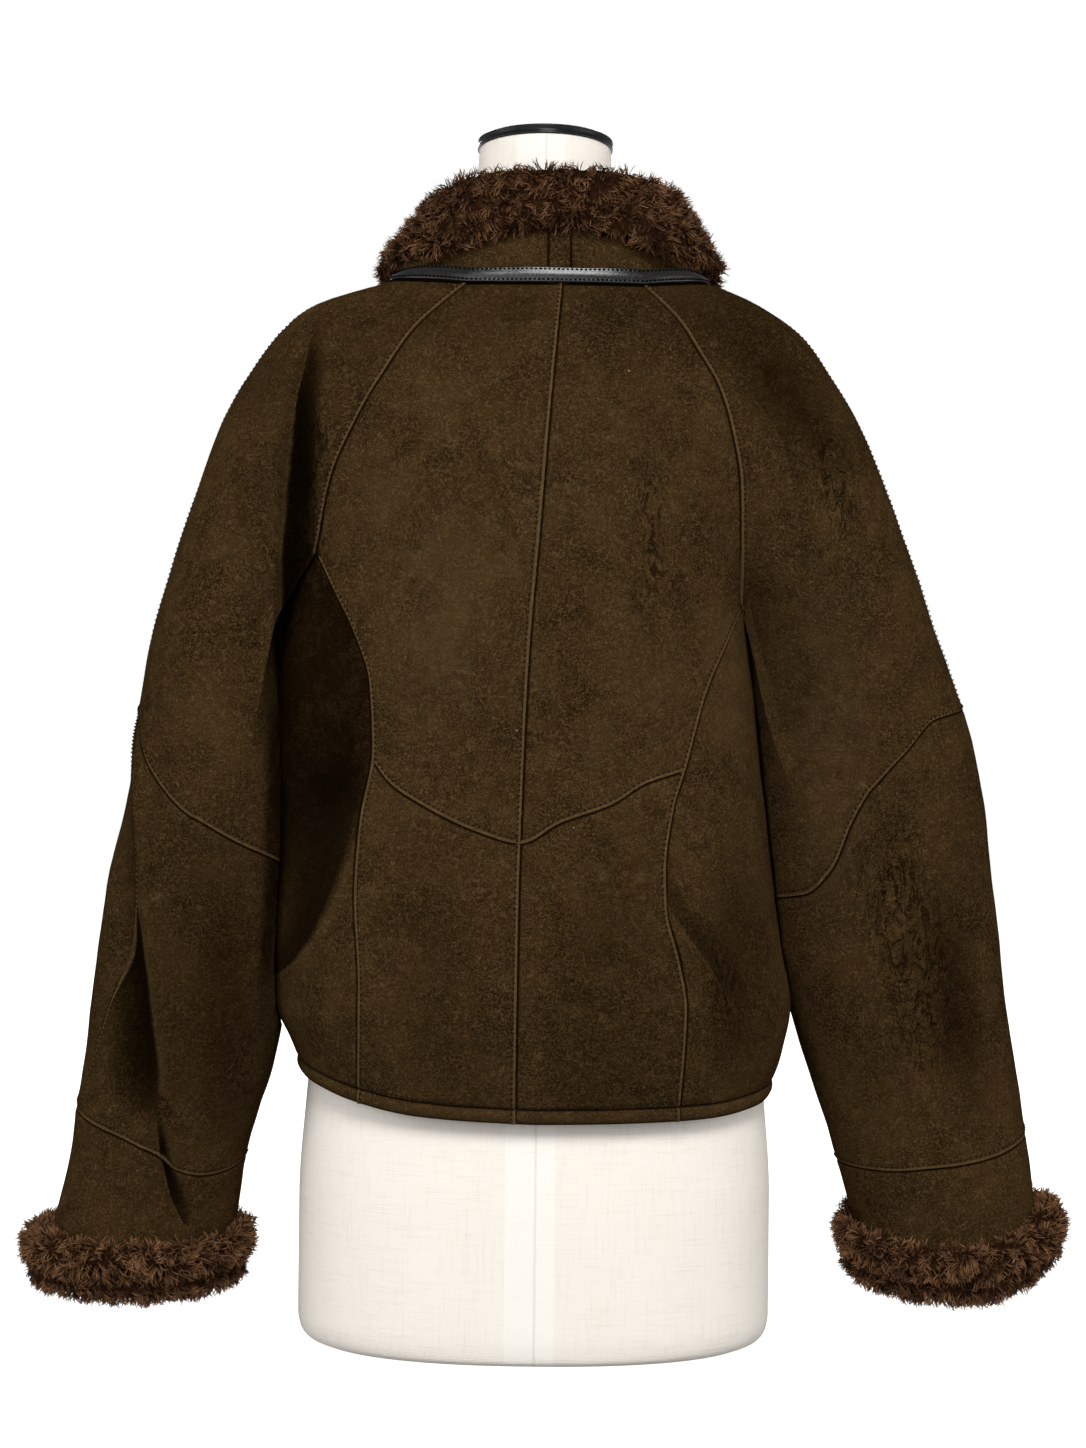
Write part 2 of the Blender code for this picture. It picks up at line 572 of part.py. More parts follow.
def wall(points, normals, quads, thickness=WALL):
    """Vertices and faces of a closed wall: the quads outside, and again a thickness further in."""
    used, index = np.unique(quads, return_inverse=True)
    quads = index.reshape(-1, 4)
    points, normals = points.reshape(-1, 3)[used], normals.reshape(-1, 3)[used]
    rim = rim_of(quads)
    outer = drawn_in(points, normals, rim)
    inner = outer - normals * thickness
    count = len(points)
    faces = [list(quad) for quad in quads] + [[count + i for i in quad[::-1]] for quad in quads]
    for a, b, _ in rim:
        # Two pieces that meet at a seam split its faces along the same diagonal.
        first, second = sorted((a, b), key=lambda i: tuple(np.round(points[i], 3)))
        faces.append([first, second, count + second])
        faces.append([first, count + second, count + first])
    return np.concatenate([outer, inner]), faces


def grid_wall(points, normals, around=False):
    return wall(points, normals, quads_of(*points.shape[:2], around))


def loft(rings, capped=True):
    """Vertices and faces through rings of points: capped at both ends, or closed into a loop."""
    count, total = len(rings[0]), len(rings)
    faces = []
    for i in range(total - 1 if capped else total):
        j = (i + 1) % total
        for k in range(count):
            n = (k + 1) % count
            faces.append([i * count + k, i * count + n, j * count + n, j * count + k])
    if capped:
        faces.append(list(range(count))[::-1])
        faces.append([(total - 1) * count + k for k in range(count)])
    return np.concatenate(rings), faces


# ---------------------------------------------------------------- objects
def material(name, colour, roughness, metallic=0.0):
    made = bpy.data.materials.new(name)
    made.use_nodes = True
    principled = made.node_tree.nodes["Principled BSDF"]
    principled.inputs["Base Color"].default_value = (*colour, 1.0)
    principled.inputs["Roughness"].default_value = roughness
    principled.inputs["Metallic"].default_value = metallic
    return made


def add(name, vertices, faces, made_of, sharp_over=45):
    mesh = bpy.data.meshes.new(name)
    mesh.from_pydata((np.asarray(vertices) * MM).tolist(), [], [list(map(int, f)) for f in faces])
    work = bmesh.new()
    work.from_mesh(mesh)
    bmesh.ops.recalc_face_normals(work, faces=work.faces)
    work.to_mesh(mesh)
    work.free()
    mesh.shade_smooth()
    mesh.set_sharp_from_angle(angle=math.radians(sharp_over))
    mesh.materials.append(made_of)
    item = bpy.data.objects.new(name, mesh)
    bpy.context.scene.collection.objects.link(item)


# ---------------------------------------------------------------- body panels
def torso_wall(grid, face, lap=None):
    x, z = grid[..., 0], grid[..., 1]
    middle = np.stack([x, 0 * x, z - 60], axis=-1)
    normals = normals_of(lambda a, b: torso_point(a, b, face), x, z, 0.5, 0.5, middle)
    points = torso_point(x, z, face)
    if lap is not None:
        points = points + normals * lap(x)[..., None]
    return grid_wall(points, normals)


def raglan_heights(arm, back):
    top = NECK_BACK if back else RAGLAN_FRONT
    return top + (arm.split - top) * np.array(RAGLAN_SHARES)


def side_heights(arm, back):
    """Heights of the side panel's rows at its back or front seam, from the armhole to the hem."""
    table = arm.back_side if back else arm.front_side
    hem = 200.0
    for _ in range(6):
        hem = float(hem_height(round_of(table.read("out", hem), hem, arm.hand, back), arm.hand))
    upper = spread(arm.split, arm.yoke_end, SIDE_UPPER_ROWS)
    return np.concatenate([upper, spread(arm.yoke_end, hem, SIDE_LOWER_ROWS)[1:]])


def hem_on_panel(x, face):
    """The hem's height at this distance across the back or front."""
    z = np.full(np.shape(x), 190.0)
    for _ in range(6):
        left = hem_height(round_of(x, z, 1, face > 0), 1)
        right = hem_height(round_of(x, z, -1, face > 0), -1)
        z = np.where(x >= 0, left, right)
    return z


def outer_edge(arm, back):
    """A back or front panel's outer edge: down the raglan seam, then the side seam, to the hem."""
    raglan, side = raglan_heights(arm, back), side_heights(arm, back)[1:]
    above = (arm.back_raglan if back else arm.front_raglan).read("out", raglan)
    below = (arm.back_side if back else arm.front_side).read("out", side)
    return np.stack([arm.hand * np.concatenate([above, below]), np.concatenate([raglan, side])], axis=-1)


def back_panels(arm, suede):
    outer = outer_edge(arm, True)
    middle_x = YOKE.at[np.argmin(YOKE.columns["height"])]
    yoke_z, hem_z = float(YOKE.read("height", middle_x)), float(hem_on_panel(middle_x, 1))
    junction = RAGLAN_ROWS + SIDE_UPPER_ROWS
    middle = np.concatenate([spread(NECK_BACK, yoke_z, junction), spread(yoke_z, hem_z, SIDE_LOWER_ROWS)[1:]])
    centre = np.stack([CENTRE_BACK.read("out", middle), middle], axis=-1)
    top = spread(centre[0], outer[0], BACK_COLUMNS)
    yoke = spread(centre[junction], outer[junction], BACK_COLUMNS)
    yoke[1:-1, 1] = YOKE.read("height", yoke[1:-1, 0])
    hem = spread(centre[-1], outer[-1], BACK_COLUMNS)
    hem[1:-1, 1] = hem_on_panel(hem[1:-1, 0], 1)
    upper = coons(top, yoke, centre[: junction + 1], outer[: junction + 1])
    lower = coons(yoke, hem, centre[junction:], outer[junction:])
    add(f"back_upper_{arm.side}", *torso_wall(upper, 1), suede)
    add(f"back_lower_{arm.side}", *torso_wall(lower, 1), suede)
    return top


def side_edge(arm, back):
    z = side_heights(arm, back)
    out = (arm.back_side if back else arm.front_side).read("out", z)
    return np.stack([round_of(out, z, arm.hand, back), z], axis=-1)


def side_panel(arm, suede):
    share = spread(0, 1, ARMHOLE_COLUMNS)
    back_hole = np.stack(arm.armhole(share, 1.0), axis=-1)
    front_hole = np.stack(arm.armhole(share, -1.0), axis=-1)
    top = np.concatenate([back_hole, front_hole[-2::-1]])
    back_edge, front_edge = side_edge(arm, True), side_edge(arm, False)
    hem = spread(back_edge[-1], front_edge[-1], 2 * ARMHOLE_COLUMNS)
    hem[1:-1, 1] = hem_height(hem[1:-1, 0], arm.hand)
    grid = coons(top, hem, back_edge, front_edge)
    angle, z = grid[..., 0], grid[..., 1]
    middle = np.stack([0 * z, 0 * z, z], axis=-1)
    normals = normals_of(lambda a, b: side_point(a, b, arm.hand), angle, z, 0.01, 0.5, middle)
    add(f"side_{arm.side}", *grid_wall(side_point(angle, z, arm.hand), normals), suede)


def lap_rise(x):
    """The over front climbs on to the under front towards its edge."""
    return LAP_RISE * smooth((x - LAP_FROM) / LAP_WIDTH)


def front_panel(arm, suede):
    outer = outer_edge(arm, False)
    edge = -arm.hand * LAP_PAST
    rows = len(outer) - 1
    hem_z = float(hem_on_panel(edge, -1))
    inner = np.stack([np.full(rows + 1, edge), spread(NECK_FRONT, hem_z, rows)], axis=-1)
    top = np.concatenate([[inner[0]], spread([0.0, NECK_FRONT], outer[0], FRONT_COLUMNS)])
    hem = np.concatenate([[inner[-1]], spread([0.0, hem_z], outer[-1], FRONT_COLUMNS)])
    hem[1:-1, 1] = hem_on_panel(hem[1:-1, 0], -1)
    grid = coons(top, hem, inner, outer)
    add(f"front_{arm.side}", *torso_wall(grid, -1, lap_rise if arm.hand < 0 else None), suede)
    return top[1:], inner[:, 1]


# ---------------------------------------------------------------- sleeves
SLEEVE_STEP = 0.004  # between the places that give a sleeve's normals


def sleeve_grid(arm, round_share, down):
    """Points and normals of the sleeve's surface at these places."""
    points = arm.point(round_share, down)
    inside = np.minimum(down, 1 - SLEEVE_STEP)
    normals = normals_of(arm.point, round_share, inside, SLEEVE_STEP, SLEEVE_STEP, arm.axis(points))
    return points, normals


def upper_sleeve(arm, face, suede):
    """From the collar seam and the armhole to the elbow seam, behind (face 1) or in front (-1)."""
    columns = SLEEVE_COLUMNS + ARMHOLE_COLUMNS
    share = face * np.maximum(np.linspace(0, 1, columns + 1), 1e-6)
    elbow = arm.seam_down(arm.elbow, share)
    below = elbow[None, :] * (np.linspace(0, 1, SLEEVE_ROWS + 1)[:, None] ** 1.15)
    above = np.repeat(np.array(RAGLAN_SHARES)[:-1, None] - 1, columns + 1, axis=1)
    down = np.concatenate([above, below])
    points, normals = sleeve_grid(arm, np.repeat(share[None], len(down), axis=0), down)
    quads = quads_of(*down.shape)
    row, column = quads[:, 3] // (columns + 1), quads[:, 0] % (columns + 1)
    above_armhole = (row <= RAGLAN_ROWS) & (column >= SLEEVE_COLUMNS)
    name = "back" if face > 0 else "front"
    add(f"sleeve_{name}_upper_{arm.side}", *wall(points, normals, quads[~above_armhole]), suede)


def lower_sleeve(arm, face, suede):
    """From the elbow seam to the cuff band's. Returns its columns' places at the band."""
    even = np.linspace(0, 1, SLEEVE_COLUMNS + ARMHOLE_COLUMNS + 1)
    rows = np.linspace(0, 1, FOREARM_ROWS + 1)[:, None]
    down = np.linspace(0.2, 0.75, FOREARM_ROWS + 1)[:, None] + 0 * even
    for _ in range(5):
        start = arm.forearm.read("turn", down[:, :1]) / 180
        share = start + (face - start) * even
        elbow, cuff = arm.seam_down(arm.elbow, share), arm.seam_down(arm.cuff_seam, share)
        down = elbow + (cuff - elbow) * rows
    name = "back" if face > 0 else "front"
    add(f"sleeve_{name}_lower_{arm.side}", *grid_wall(*sleeve_grid(arm, share, down)), suede)
    return share[-1]


def cuff_places(back_share, front_share):
    """The cuff's columns, once round: those of the two lower pieces' ends."""
    return np.concatenate([back_share, front_share[-2:0:-1]])


def cuff_band(arm, share, suede):
    top = arm.seam_down(arm.cuff_seam, share)
    down = np.stack([top, (top + 1) / 2, np.ones(len(share))])
    points, normals = sleeve_grid(arm, np.repeat(share[None], 3, axis=0), down)
    add(f"cuff_band_{arm.side}", *grid_wall(points, normals, around=True), suede)


def cuff_fur(arm, share, fur):
    end, normals = sleeve_grid(arm, share, np.ones(len(share)))
    flat = normals * (1, 1, 0)
    flat /= np.linalg.norm(flat, axis=-1, keepdims=True)
    full = CUFF_FUR_FULL.read("full", 180 * share)[:, None]
    rings = []
    for out, over in CUFF_FUR_SECTION:
        level = arm.down_at(share, end[:, 2] + max(over, 0.0))
        surface = arm.point(share, level)
        surface[:, 2] = end[:, 2] + over
        rings.append(surface + flat * out * (full if out > 1 else 1))
    add(f"cuff_fur_{arm.side}", *loft(rings, capped=False), fur)


# ---------------------------------------------------------------- collar
def neck_line(arm, back_top, front_top):
    """The collar seam on one side, from near the centre back to the centre front."""
    share = spread(1 - arm.hole_share, 0, SLEEVE_COLUMNS)
    edge = TAB_TO if arm.hand > 0 else TAB_FROM
    first = torso_point([edge], [NECK_BACK], 1)
    back = torso_point(back_top[:, 0], back_top[:, 1], 1)
    back = back[arm.hand * (back[:, 0] - edge) > 7]
    over_back = arm.point(share, -1.0)
    over_front = arm.point(-share[::-1] - 1e-6, -1.0)
    front = torso_point(front_top[::-1, 0], front_top[::-1, 1], -1)
    return np.concatenate([first, back, over_back[1:], over_front[1:], front[1:]])


class Collar:
    """The collar over its seam, which runs from the centre front round the back to the front again."""

    def __init__(self, line):
        flat = (line - NECK_AXIS) * (1, 1, 0)
        way_out = flat / np.linalg.norm(flat, axis=-1, keepdims=True)
        angle = np.degrees(np.arctan2(np.abs(flat[:, 0]), flat[:, 1]))
        self.line = line
        self.crest = NECK_AXIS + way_out * COLLAR.read("out", angle)[:, None]
        self.crest[:, 2] = COLLAR.read("high", angle)
        self.fall, self.full = COLLAR.read("fall", angle), COLLAR.read("full", angle)
        self.skirt = COLLAR.read("skirt", angle)
        along = np.concatenate([line[1:], line[1:2]]) - np.concatenate([line[-2:-1], line[:-1]])
        normals = np.cross(along, self.crest - line)
        normals /= np.linalg.norm(normals, axis=-1, keepdims=True)
        outward = np.sum(normals * way_out, axis=-1, keepdims=True)
        self.normals = np.where(outward < 0, -normals, normals)

    def stand(self, name, first, last, suede):
        """A piece of the suede stand, between two of the seam's points."""
        line, crest = self.line[first : last + 1], self.crest[first : last + 1]
        levels = np.array(STAND_LEVELS)[:, None, None]
        normals = self.normals[first : last + 1] + 0 * levels
        add(name, *grid_wall(line + (crest - line) * levels, normals), suede)

    def fur(self, fur):
        rings = []
        for i, (foot, top, fall) in enumerate(zip(self.line, self.crest, self.fall)):
            places = {"fall": fall + 0.08, "under": fall, "back": fall + 0.05, "middle": (fall + 1.02) / 2}
            reaches = {"skirt": self.skirt[i], "tuck": FUR_TUCK * self.skirt[i]}
            reaches.update({"round": FUR_ROUND * self.full[i], "top": FUR_TOP * self.full[i]})
            up = np.array([[places.get(up, up)] for up, _ in FUR_SECTION])
            out = np.array([[reaches.get(out, out)] for _, out in FUR_SECTION])
            rings.append(foot + (top - foot) * up + self.normals[i] * out)
        for end, beside in ((0, 1), (-1, -2)):
            spacing = np.linalg.norm(self.line[beside] - self.line[end])
            rings[end] = rings[end] + (rings[beside] - rings[end]) * FUR_PARTING / 2 / spacing
        add("collar_fur", *loft(rings), fur)

    def strap(self, leather):
        """A flat leather strap on the seam, across the back from shoulder to shoulder."""
        behind = np.flatnonzero(self.line[:, 1] > STRAP_HIGH)
        rings = []
        for i in behind:
            up = (self.crest[i] - self.line[i]) / np.linalg.norm(self.crest[i] - self.line[i])
            from_end = min(i - behind[0], behind[-1] - i)
            high = 1 + STRAP_HIGH * (0.35 + 0.65 * smooth((from_end + 0.35) / 2))
            near, far = STRAP_OFF, STRAP_OFF + STRAP_THICK
            corners = ((1.0, near), (1.0, far), (high, far), (high, near))
            rings.append([self.line[i] + up * a + self.normals[i] * b for a, b in corners])
        add("collar_strap", *loft(rings), leather)


def collar(left, right, suede, fur, leather):
    """The suede stand in two halves and a centre strip, the fur roll over it, and the strap."""
    whole = Collar(np.concatenate([right[::-1], left]))
    middle, end = len(right) - 1, len(right) + len(left) - 1
    whole.stand("collar_stand_right", 0, middle, suede)
    whole.stand("collar_tab", middle, middle + 1, suede)
    whole.stand("collar_stand_left", middle + 1, end, suede)
    whole.fur(fur)
    whole.strap(leather)


# ---------------------------------------------------------------- closure and form
def buttons(front_rows, horn):
    rim, dish = BUTTON_RADIUS - BUTTON_RIM, BUTTON_THICK - BUTTON_DISH
    profile = (
        (0.0, BUTTON_RADIUS - 1), (1.2, BUTTON_RADIUS), (3.4, BUTTON_RADIUS),
        (BUTTON_THICK, BUTTON_RADIUS - 1.2), (BUTTON_THICK, rim), (dish, rim - BUTTON_DISH),
    )
    turn = 2 * math.pi * np.arange(BUTTON_SIDES)[:, None] / BUTTON_SIDES
    for number, row in enumerate(BUTTON_ROWS, 1):
        x, z = np.array(0.0), front_rows[row]
        middle = np.array([0.0, 0.0, z - 60])
        normal = normals_of(lambda a, b: torso_point(a, b, -1), x, z, 2.0, 8.0, middle)
        back = torso_point(x, z, -1) + normal * (LAP_RISE + BUTTON_OFF)
        side = np.array([1.0, 0.0, 0.0])
        round_it = side * np.cos(turn) + np.cross(normal, side) * np.sin(turn)
        rings = [back + normal * raised + round_it * radius for raised, radius in profile]
        add(f"button_{number}", *loft(rings), horn, sharp_over=35)


def dress_form(linen, black):
    angle = np.linspace(0, 2 * math.pi, FORM_SIDES + 1)[:-1]
    rings = []
    for height in FORM.at:
        row = {column: float(FORM.read(column, height)) for column in FORM.columns}
        depth = np.where(np.cos(angle) >= 0, row["back"], row["front"])
        x = row["half"] * signed_power(np.sin(angle), 2 / row["power"])
        y = row["middle"] + depth * signed_power(np.cos(angle), 2 / row["power"])
        rings.append(np.stack([x, y, np.full(FORM_SIDES, height)], axis=-1))
    rings[-1][:, 2] += (rings[-1][:, 1] - NECK_MIDDLE) * math.tan(CAP_TILT)
    add("dress_form", *loft(rings), linen)
    flat = rings[-1] - (0, NECK_MIDDLE, 0)
    way_out = flat * (1, 1, 0) / np.linalg.norm(flat[:, :2], axis=-1, keepdims=True)
    section = ((SEAM_GAP, 0.6), (1.4, CAP_OVER), (CAP_HIGH - 1.6, CAP_OVER), (CAP_HIGH, 0.2))
    cap = [rings[-1] + (0, 0, up) + way_out * over for up, over in section]
    add("neck_cap", *loft(cap), black, sharp_over=60)


def main():
    for item in list(bpy.data.objects):
        bpy.data.objects.remove(item)
    suede = material("suede", (0.047, 0.030, 0.012), 0.9)
    fur = material("fur", (0.035, 0.014, 0.006), 0.95)
    leather = material("leather", (0.012, 0.011, 0.010), 0.35)
    horn = material("horn", (0.02, 0.012, 0.008), 0.4)
    linen = material("linen", (0.78, 0.74, 0.69), 0.9)
    black = material("black_ring", (0.02, 0.02, 0.02), 0.35)
    lines = []
    for hand in (1, -1):
        arm = Arm(hand)
        back_top = back_panels(arm, suede)
        side_panel(arm, suede)
        front_top, front_rows = front_panel(arm, suede)
        upper_sleeve(arm, 1, suede)
        upper_sleeve(arm, -1, suede)
        places = cuff_places(lower_sleeve(arm, 1, suede), lower_sleeve(arm, -1, suede))
        cuff_band(arm, places, suede)
        cuff_fur(arm, places, fur)
        lines.append(neck_line(arm, back_top, front_top))
    collar(*lines, suede, fur, leather)
    buttons(front_rows, horn)
    dress_form(linen, black)


main()
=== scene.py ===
"""The finish of a suede shearling jacket on a linen dress form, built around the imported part.

Each panel is a fine shell on the same stacked level sections as its solid, with its creases, rolled
edges, stitches and wool added. Tables and sizes are in millimetres, and meshes are in metres.
"""

import math

import bmesh
import bpy
import numpy as np
from mathutils import Matrix, Vector, noise
from mathutils.kdtree import KDTree


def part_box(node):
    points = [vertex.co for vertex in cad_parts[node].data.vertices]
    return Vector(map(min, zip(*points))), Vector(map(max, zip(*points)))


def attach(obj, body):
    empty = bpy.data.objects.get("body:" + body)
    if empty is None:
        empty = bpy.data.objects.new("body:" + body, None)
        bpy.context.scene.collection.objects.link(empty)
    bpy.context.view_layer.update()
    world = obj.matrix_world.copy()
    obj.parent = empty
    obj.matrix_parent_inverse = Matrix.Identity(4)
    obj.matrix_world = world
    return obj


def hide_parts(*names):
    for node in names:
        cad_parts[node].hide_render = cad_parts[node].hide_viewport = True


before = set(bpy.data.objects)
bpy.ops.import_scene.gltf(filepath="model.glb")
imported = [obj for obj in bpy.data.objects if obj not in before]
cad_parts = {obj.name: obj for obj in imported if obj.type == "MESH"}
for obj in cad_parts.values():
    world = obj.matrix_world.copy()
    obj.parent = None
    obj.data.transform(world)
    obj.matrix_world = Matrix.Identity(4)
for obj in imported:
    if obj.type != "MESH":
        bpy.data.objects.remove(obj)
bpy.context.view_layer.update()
BODY_NAME = "root"

MM = 0.001
noise.seed_set(1)  # the noise that turns the locks of fur is the same each run

# ---------------------------------------------------------------- driving sizes (mm)
WALL = 4.0  # sueded skin with its clipped wool
SEAM_GAP = 0.3  # between two pieces at a seam
SHOULDER_BLEND = 26.0  # how far the body's and a sleeve's sections soften into each other
BODY_CLEAR = 2.2  # between a hanging sleeve and the body's side
CLEAR_OVER = 0.035  # share of the sleeve over which that clearance opens below the armpit
FOLD_OVER = 0.34  # share of the sleeve over which the armhole's shape fades into its tube
EVEN_OVER = 0.45  # share of the sleeve over which its columns spread evenly round it
NECK_FROM = 0.45  # how far up the shoulder its columns start to turn round the neck
NECK_EASE = 0.6  # and how late in that turn they drop behind and in front
ARMHOLE_DROP = 34.0  # of the underarm below the raglan seams' ends
NECK_BACK = 802.0  # height of the collar seam behind
NECK_SIDE = 809.0  # on the shoulder
NECK_FRONT = 752.0  # and at the centre front
RAGLAN_FRONT = 775.0  # where the front raglan seams meet the collar seam
CUFF_END = 50.0  # height of the cuff band's lower edge behind, inside the fur
LAP_PAST = 22.0  # each front runs this far past the centre front
LAP_RISE = 5.0  # how far the over front stands off the under front
LAP_FROM, LAP_WIDTH = -66.0, 34.0  # where it climbs, and over what width
STRAP_HIGH, STRAP_THICK, STRAP_OFF = 11.0, 2.2, 0.5
BUTTON_RADIUS, BUTTON_THICK, BUTTON_DISH, BUTTON_RIM, BUTTON_OFF = 11.5, 4.2, 1.2, 3.0, 0.4
ARMHOLE_COLUMNS, SLEEVE_COLUMNS = 4, 7  # of the solids' sleeves: where the raglan seam meets the armhole

GRID = 5.0  # of a panel's fine shell
RIM_STEPS = (0.0, 0.7, 1.7, 3.2, 5.2)  # its first rows in from a seam
ROLL_DEEP, ROLL_WIDE = 1.1, 2.2  # how a panel's edge rolls down into its seam
THIN_FROM = 0.6  # how well a wall's faces and normals agree where it is thinnest
LIP_WIDE, LIP_HIGH = 2.0, 0.5  # the edge that lies over the next panel
HEM_TURN = 11.0  # height of the hem's turned-up edge
HEM_ROW = 9  # of those steps, just over the turned-up edge
HEM_STEPS = (0.0, 0.7, 1.7, 3.2, 5.2, 7.4, 9.0, 10.2, 11.2, 12.4, 14.0, 16.5)
HEM_DEEP, HEM_WIDE = 1.3, 2.2  # the line pressed over it
HEM_FULL = 0.7  # and how far the turned-up edge stands out below it
LIP_EASE = 1.2  # over which a lip drops to the panel it lies on
BY_SEAM, FROM_SEAM = 0.35, 12  # creases keep this share at a seam, and are whole further in
PUFF_AT, PUFF_WIDE, PUFF_HIGH = 5.5, 3.5, 0.4  # the panel's rise beside a seam
LEAST_WALL, THIN_ROUNDS = 0.05, 4  # its thinnest share, and how far round that spreads
FAR = 99.0  # from any seam, lip or hem that a finish looks for
BELOW_NORMALS = 60  # the body's outside faces away from a middle line this far below each point
UNDER_SHOULDER, SHOULDER_TURN = 40, 100  # and a sleeve's, above its armpit
PANEL_ACROSS = 150  # lengths that set how many columns and rows a fine grid has
CAP_ACROSS, HOLE_ACROSS, CAP_LONG, UPPER_LONG = 165, 95, 250, 160
LOWER_ROUND, LOWER_LONG, BAND_LONG = 250, 260, 95
STAND_LONG, STAND_SHARE = 84.0, 0.94  # the stand's rows reach this far up to the collar's crest
HEM_ROUNDS, SEAM_ROUNDS = 6, 5  # that settle a height which depends on the place it gives


# ---------------------------------------------------------------- tables
class Table:
    """Rows of sizes with named columns, read at any place by a smooth curve through the rows."""

    def __init__(self, columns, *rows):
        values = np.array(sorted(rows), float)
        self.at = values[:, 0]
        self.columns = dict(zip(columns.split()[1:], values[:, 1:].T))

    def read(self, column, at):
        """A monotone cubic through the column's values, held level past its ends."""
        x, y = self.at, self.columns[column]
        at = np.clip(np.asarray(at, float), x[0], x[-1])
        step = np.diff(x)
        slope = np.diff(y) / step
        turn = np.concatenate([[slope[0]], np.zeros(len(x) - 2), [slope[-1]]])
        same = slope[:-1] * slope[1:] > 0
        both = np.where(same, slope[:-1] + slope[1:], 1.0)
        turn[1:-1] = np.where(same, 2 * slope[:-1] * slope[1:] / both, 0.0)
        i = np.clip(np.searchsorted(x, at, side="right") - 1, 0, len(step) - 1)
        t = (at - x[i]) / step[i]
        rise = (3 - 2 * t) * t * t
        ease_out = t * (1 - t) ** 2 * turn[i] * step[i]
        ease_in = t * t * (t - 1) * turn[i + 1] * step[i]
        return y[i] + (y[i + 1] - y[i]) * rise + ease_out + ease_in


# The body's sections: half widths to the wearer's left and right, depths behind and in front.
BODY = Table(
    "height left right back front power",
    (175, 180, 181, 140, 138, 2.4),
    (190, 180.5, 181, 143, 140, 2.4),
    (200, 181, 182.5, 146, 142, 2.4),
    (214, 183, 187.5, 150, 146, 2.4),
    (228, 188, 191, 152, 148, 2.4),
    (256, 200, 196, 156, 152, 2.4),
    (300, 202, 188, 154, 152, 2.5),
    (378, 201, 178, 147, 147, 2.5),
    (459, 200, 168, 137, 141, 2.6),
    (560, 196, 159, 129, 132, 2.6),
    (600, 190, 160, 126, 126, 2.6),
    (650, 183, 165, 119, 118, 2.6),
    (700, 172, 165, 109, 108, 2.6),
    (740, 160, 158, 97, 95, 2.6),
    (770, 146, 150, 86, 80, 2.6),
    (790, 128, 132, 75, 64, 2.5),
    (803, 108, 114, 66, 50, 2.4),
    (811, 92, 98, 58, 40, 2.3),
)

# The sleeves' sections: from the inner edge to the outer one, the middle's place front to back,
# depths behind and in front of it, and how far the outer edge leans back of the inner.
ARM_COLUMNS = "height inner outer middle back front lean"
ARM_POWER = 2.25
LEFT_ARM = Table(
    ARM_COLUMNS,
    (50, 238, 377, -20, 61, 61, 0),
    (87, 231, 371, -18, 62, 62, 0),
    (136, 223, 361, -14, 65, 64, -8),
    (170, 214, 357, -12, 67, 65, -16),
    (209, 201, 351, -8, 69, 66, -22),
    (265, 192, 345, -3, 73, 68, -24),
    (340, 188, 334, 3, 78, 72, -20),
    (400, 187, 324, 7, 82, 75, -14),
    (478, 187, 307, 11, 86, 78, -6),
    (540, 182, 296, 11, 87, 88, 0),
    (598, 152, 280, 9, 86, 93, 0),
    (650, 134, 263, 5, 86, 90, 0),
    (700, 104, 246, 2, 83, 82, 0),
    (740, 62, 224, 0, 78, 73, 0),
    (770, 26, 203, 0, 70, 62, 0),
    (790, 6, 179, 0, 60, 48, 0),
    (803, 0, 143, 0, 52, 38, 0),
    (811, 0, 109, 0, 46, 30, 0),
)
RIGHT_ARM = Table(
    ARM_COLUMNS,
    (50, 259, 396, -30, 61, 60, 0),
    (97, 247, 391, -30, 62, 61, 0),
    (128, 238, 387, -30, 62, 61, 0),
    (159, 229, 382, -30, 62, 61, 0),
    (186, 219, 379, -30, 61, 60, 0),
    (220, 208, 373, -31, 60, 60, 0),
    (259, 196, 367, -33, 60, 60, 0),
    (297, 182, 363, -34, 60, 60, 0),
    (359, 170, 354, -30, 61, 60, 0),
    (415, 166, 347, -24, 63, 61, 0),
    (459, 163, 337, -19, 66, 64, 0),
    (503, 160, 322, -13, 70, 68, 0),
    (560, 149, 300, -4, 76, 72, 0),
    (600, 128, 285, 0, 80, 77, 0),
    (650, 108, 267, 0, 83, 80, 0),
    (700, 88, 245, 0, 81, 78, 0),
    (740, 52, 222, 0, 76, 70, 0),
    (770, 22, 201, 0, 68, 60, 0),
    (790, 4, 174, 0, 60, 48, 0),
    (803, 0, 148, 0, 52, 38, 0),
    (811, 0, 118, 0, 46, 30, 0),
)

# Seams drawn on the surface: the distance out from the middle.
CENTRE_BACK = Table(
    "height out", (175, 14.5), (341, 13.4), (430, 11.3), (518, 7.9), (613, 0.7), (709, -6.3), (803, -14)
)
LEFT_BACK_RAGLAN = Table("height out", (598, 168), (652, 158), (703, 136), (732, 119), (765, 97),
                         (802, 58.6))
LEFT_FRONT_RAGLAN = Table("height out", (598, 168), (652, 158), (703, 137), (740, 112), (775, 72))
RIGHT_BACK_RAGLAN = Table(
    "height out", (560, 152), (652, 149), (696, 141), (724, 132), (750, 117), (774, 102), (802, 76)
)
RIGHT_FRONT_RAGLAN = Table("height out", (560, 152), (652, 149), (696, 141), (740, 118), (775, 84))
LEFT_BACK_SIDE = Table(
    "height out", (206, 131), (280, 130), (345, 134), (400, 130), (450, 122), (501, 125), (535, 136),
    (567, 152), (598, 168),
)
LEFT_FRONT_SIDE = Table("height out", (195, 134), (400, 132), (500, 138), (567, 154), (598, 168))
RIGHT_BACK_SIDE = Table(
    "height out", (190, 106), (264, 110), (300, 104), (335, 95), (370, 94), (409, 99), (439, 108),
    (494, 123), (538, 142), (560, 152),
)
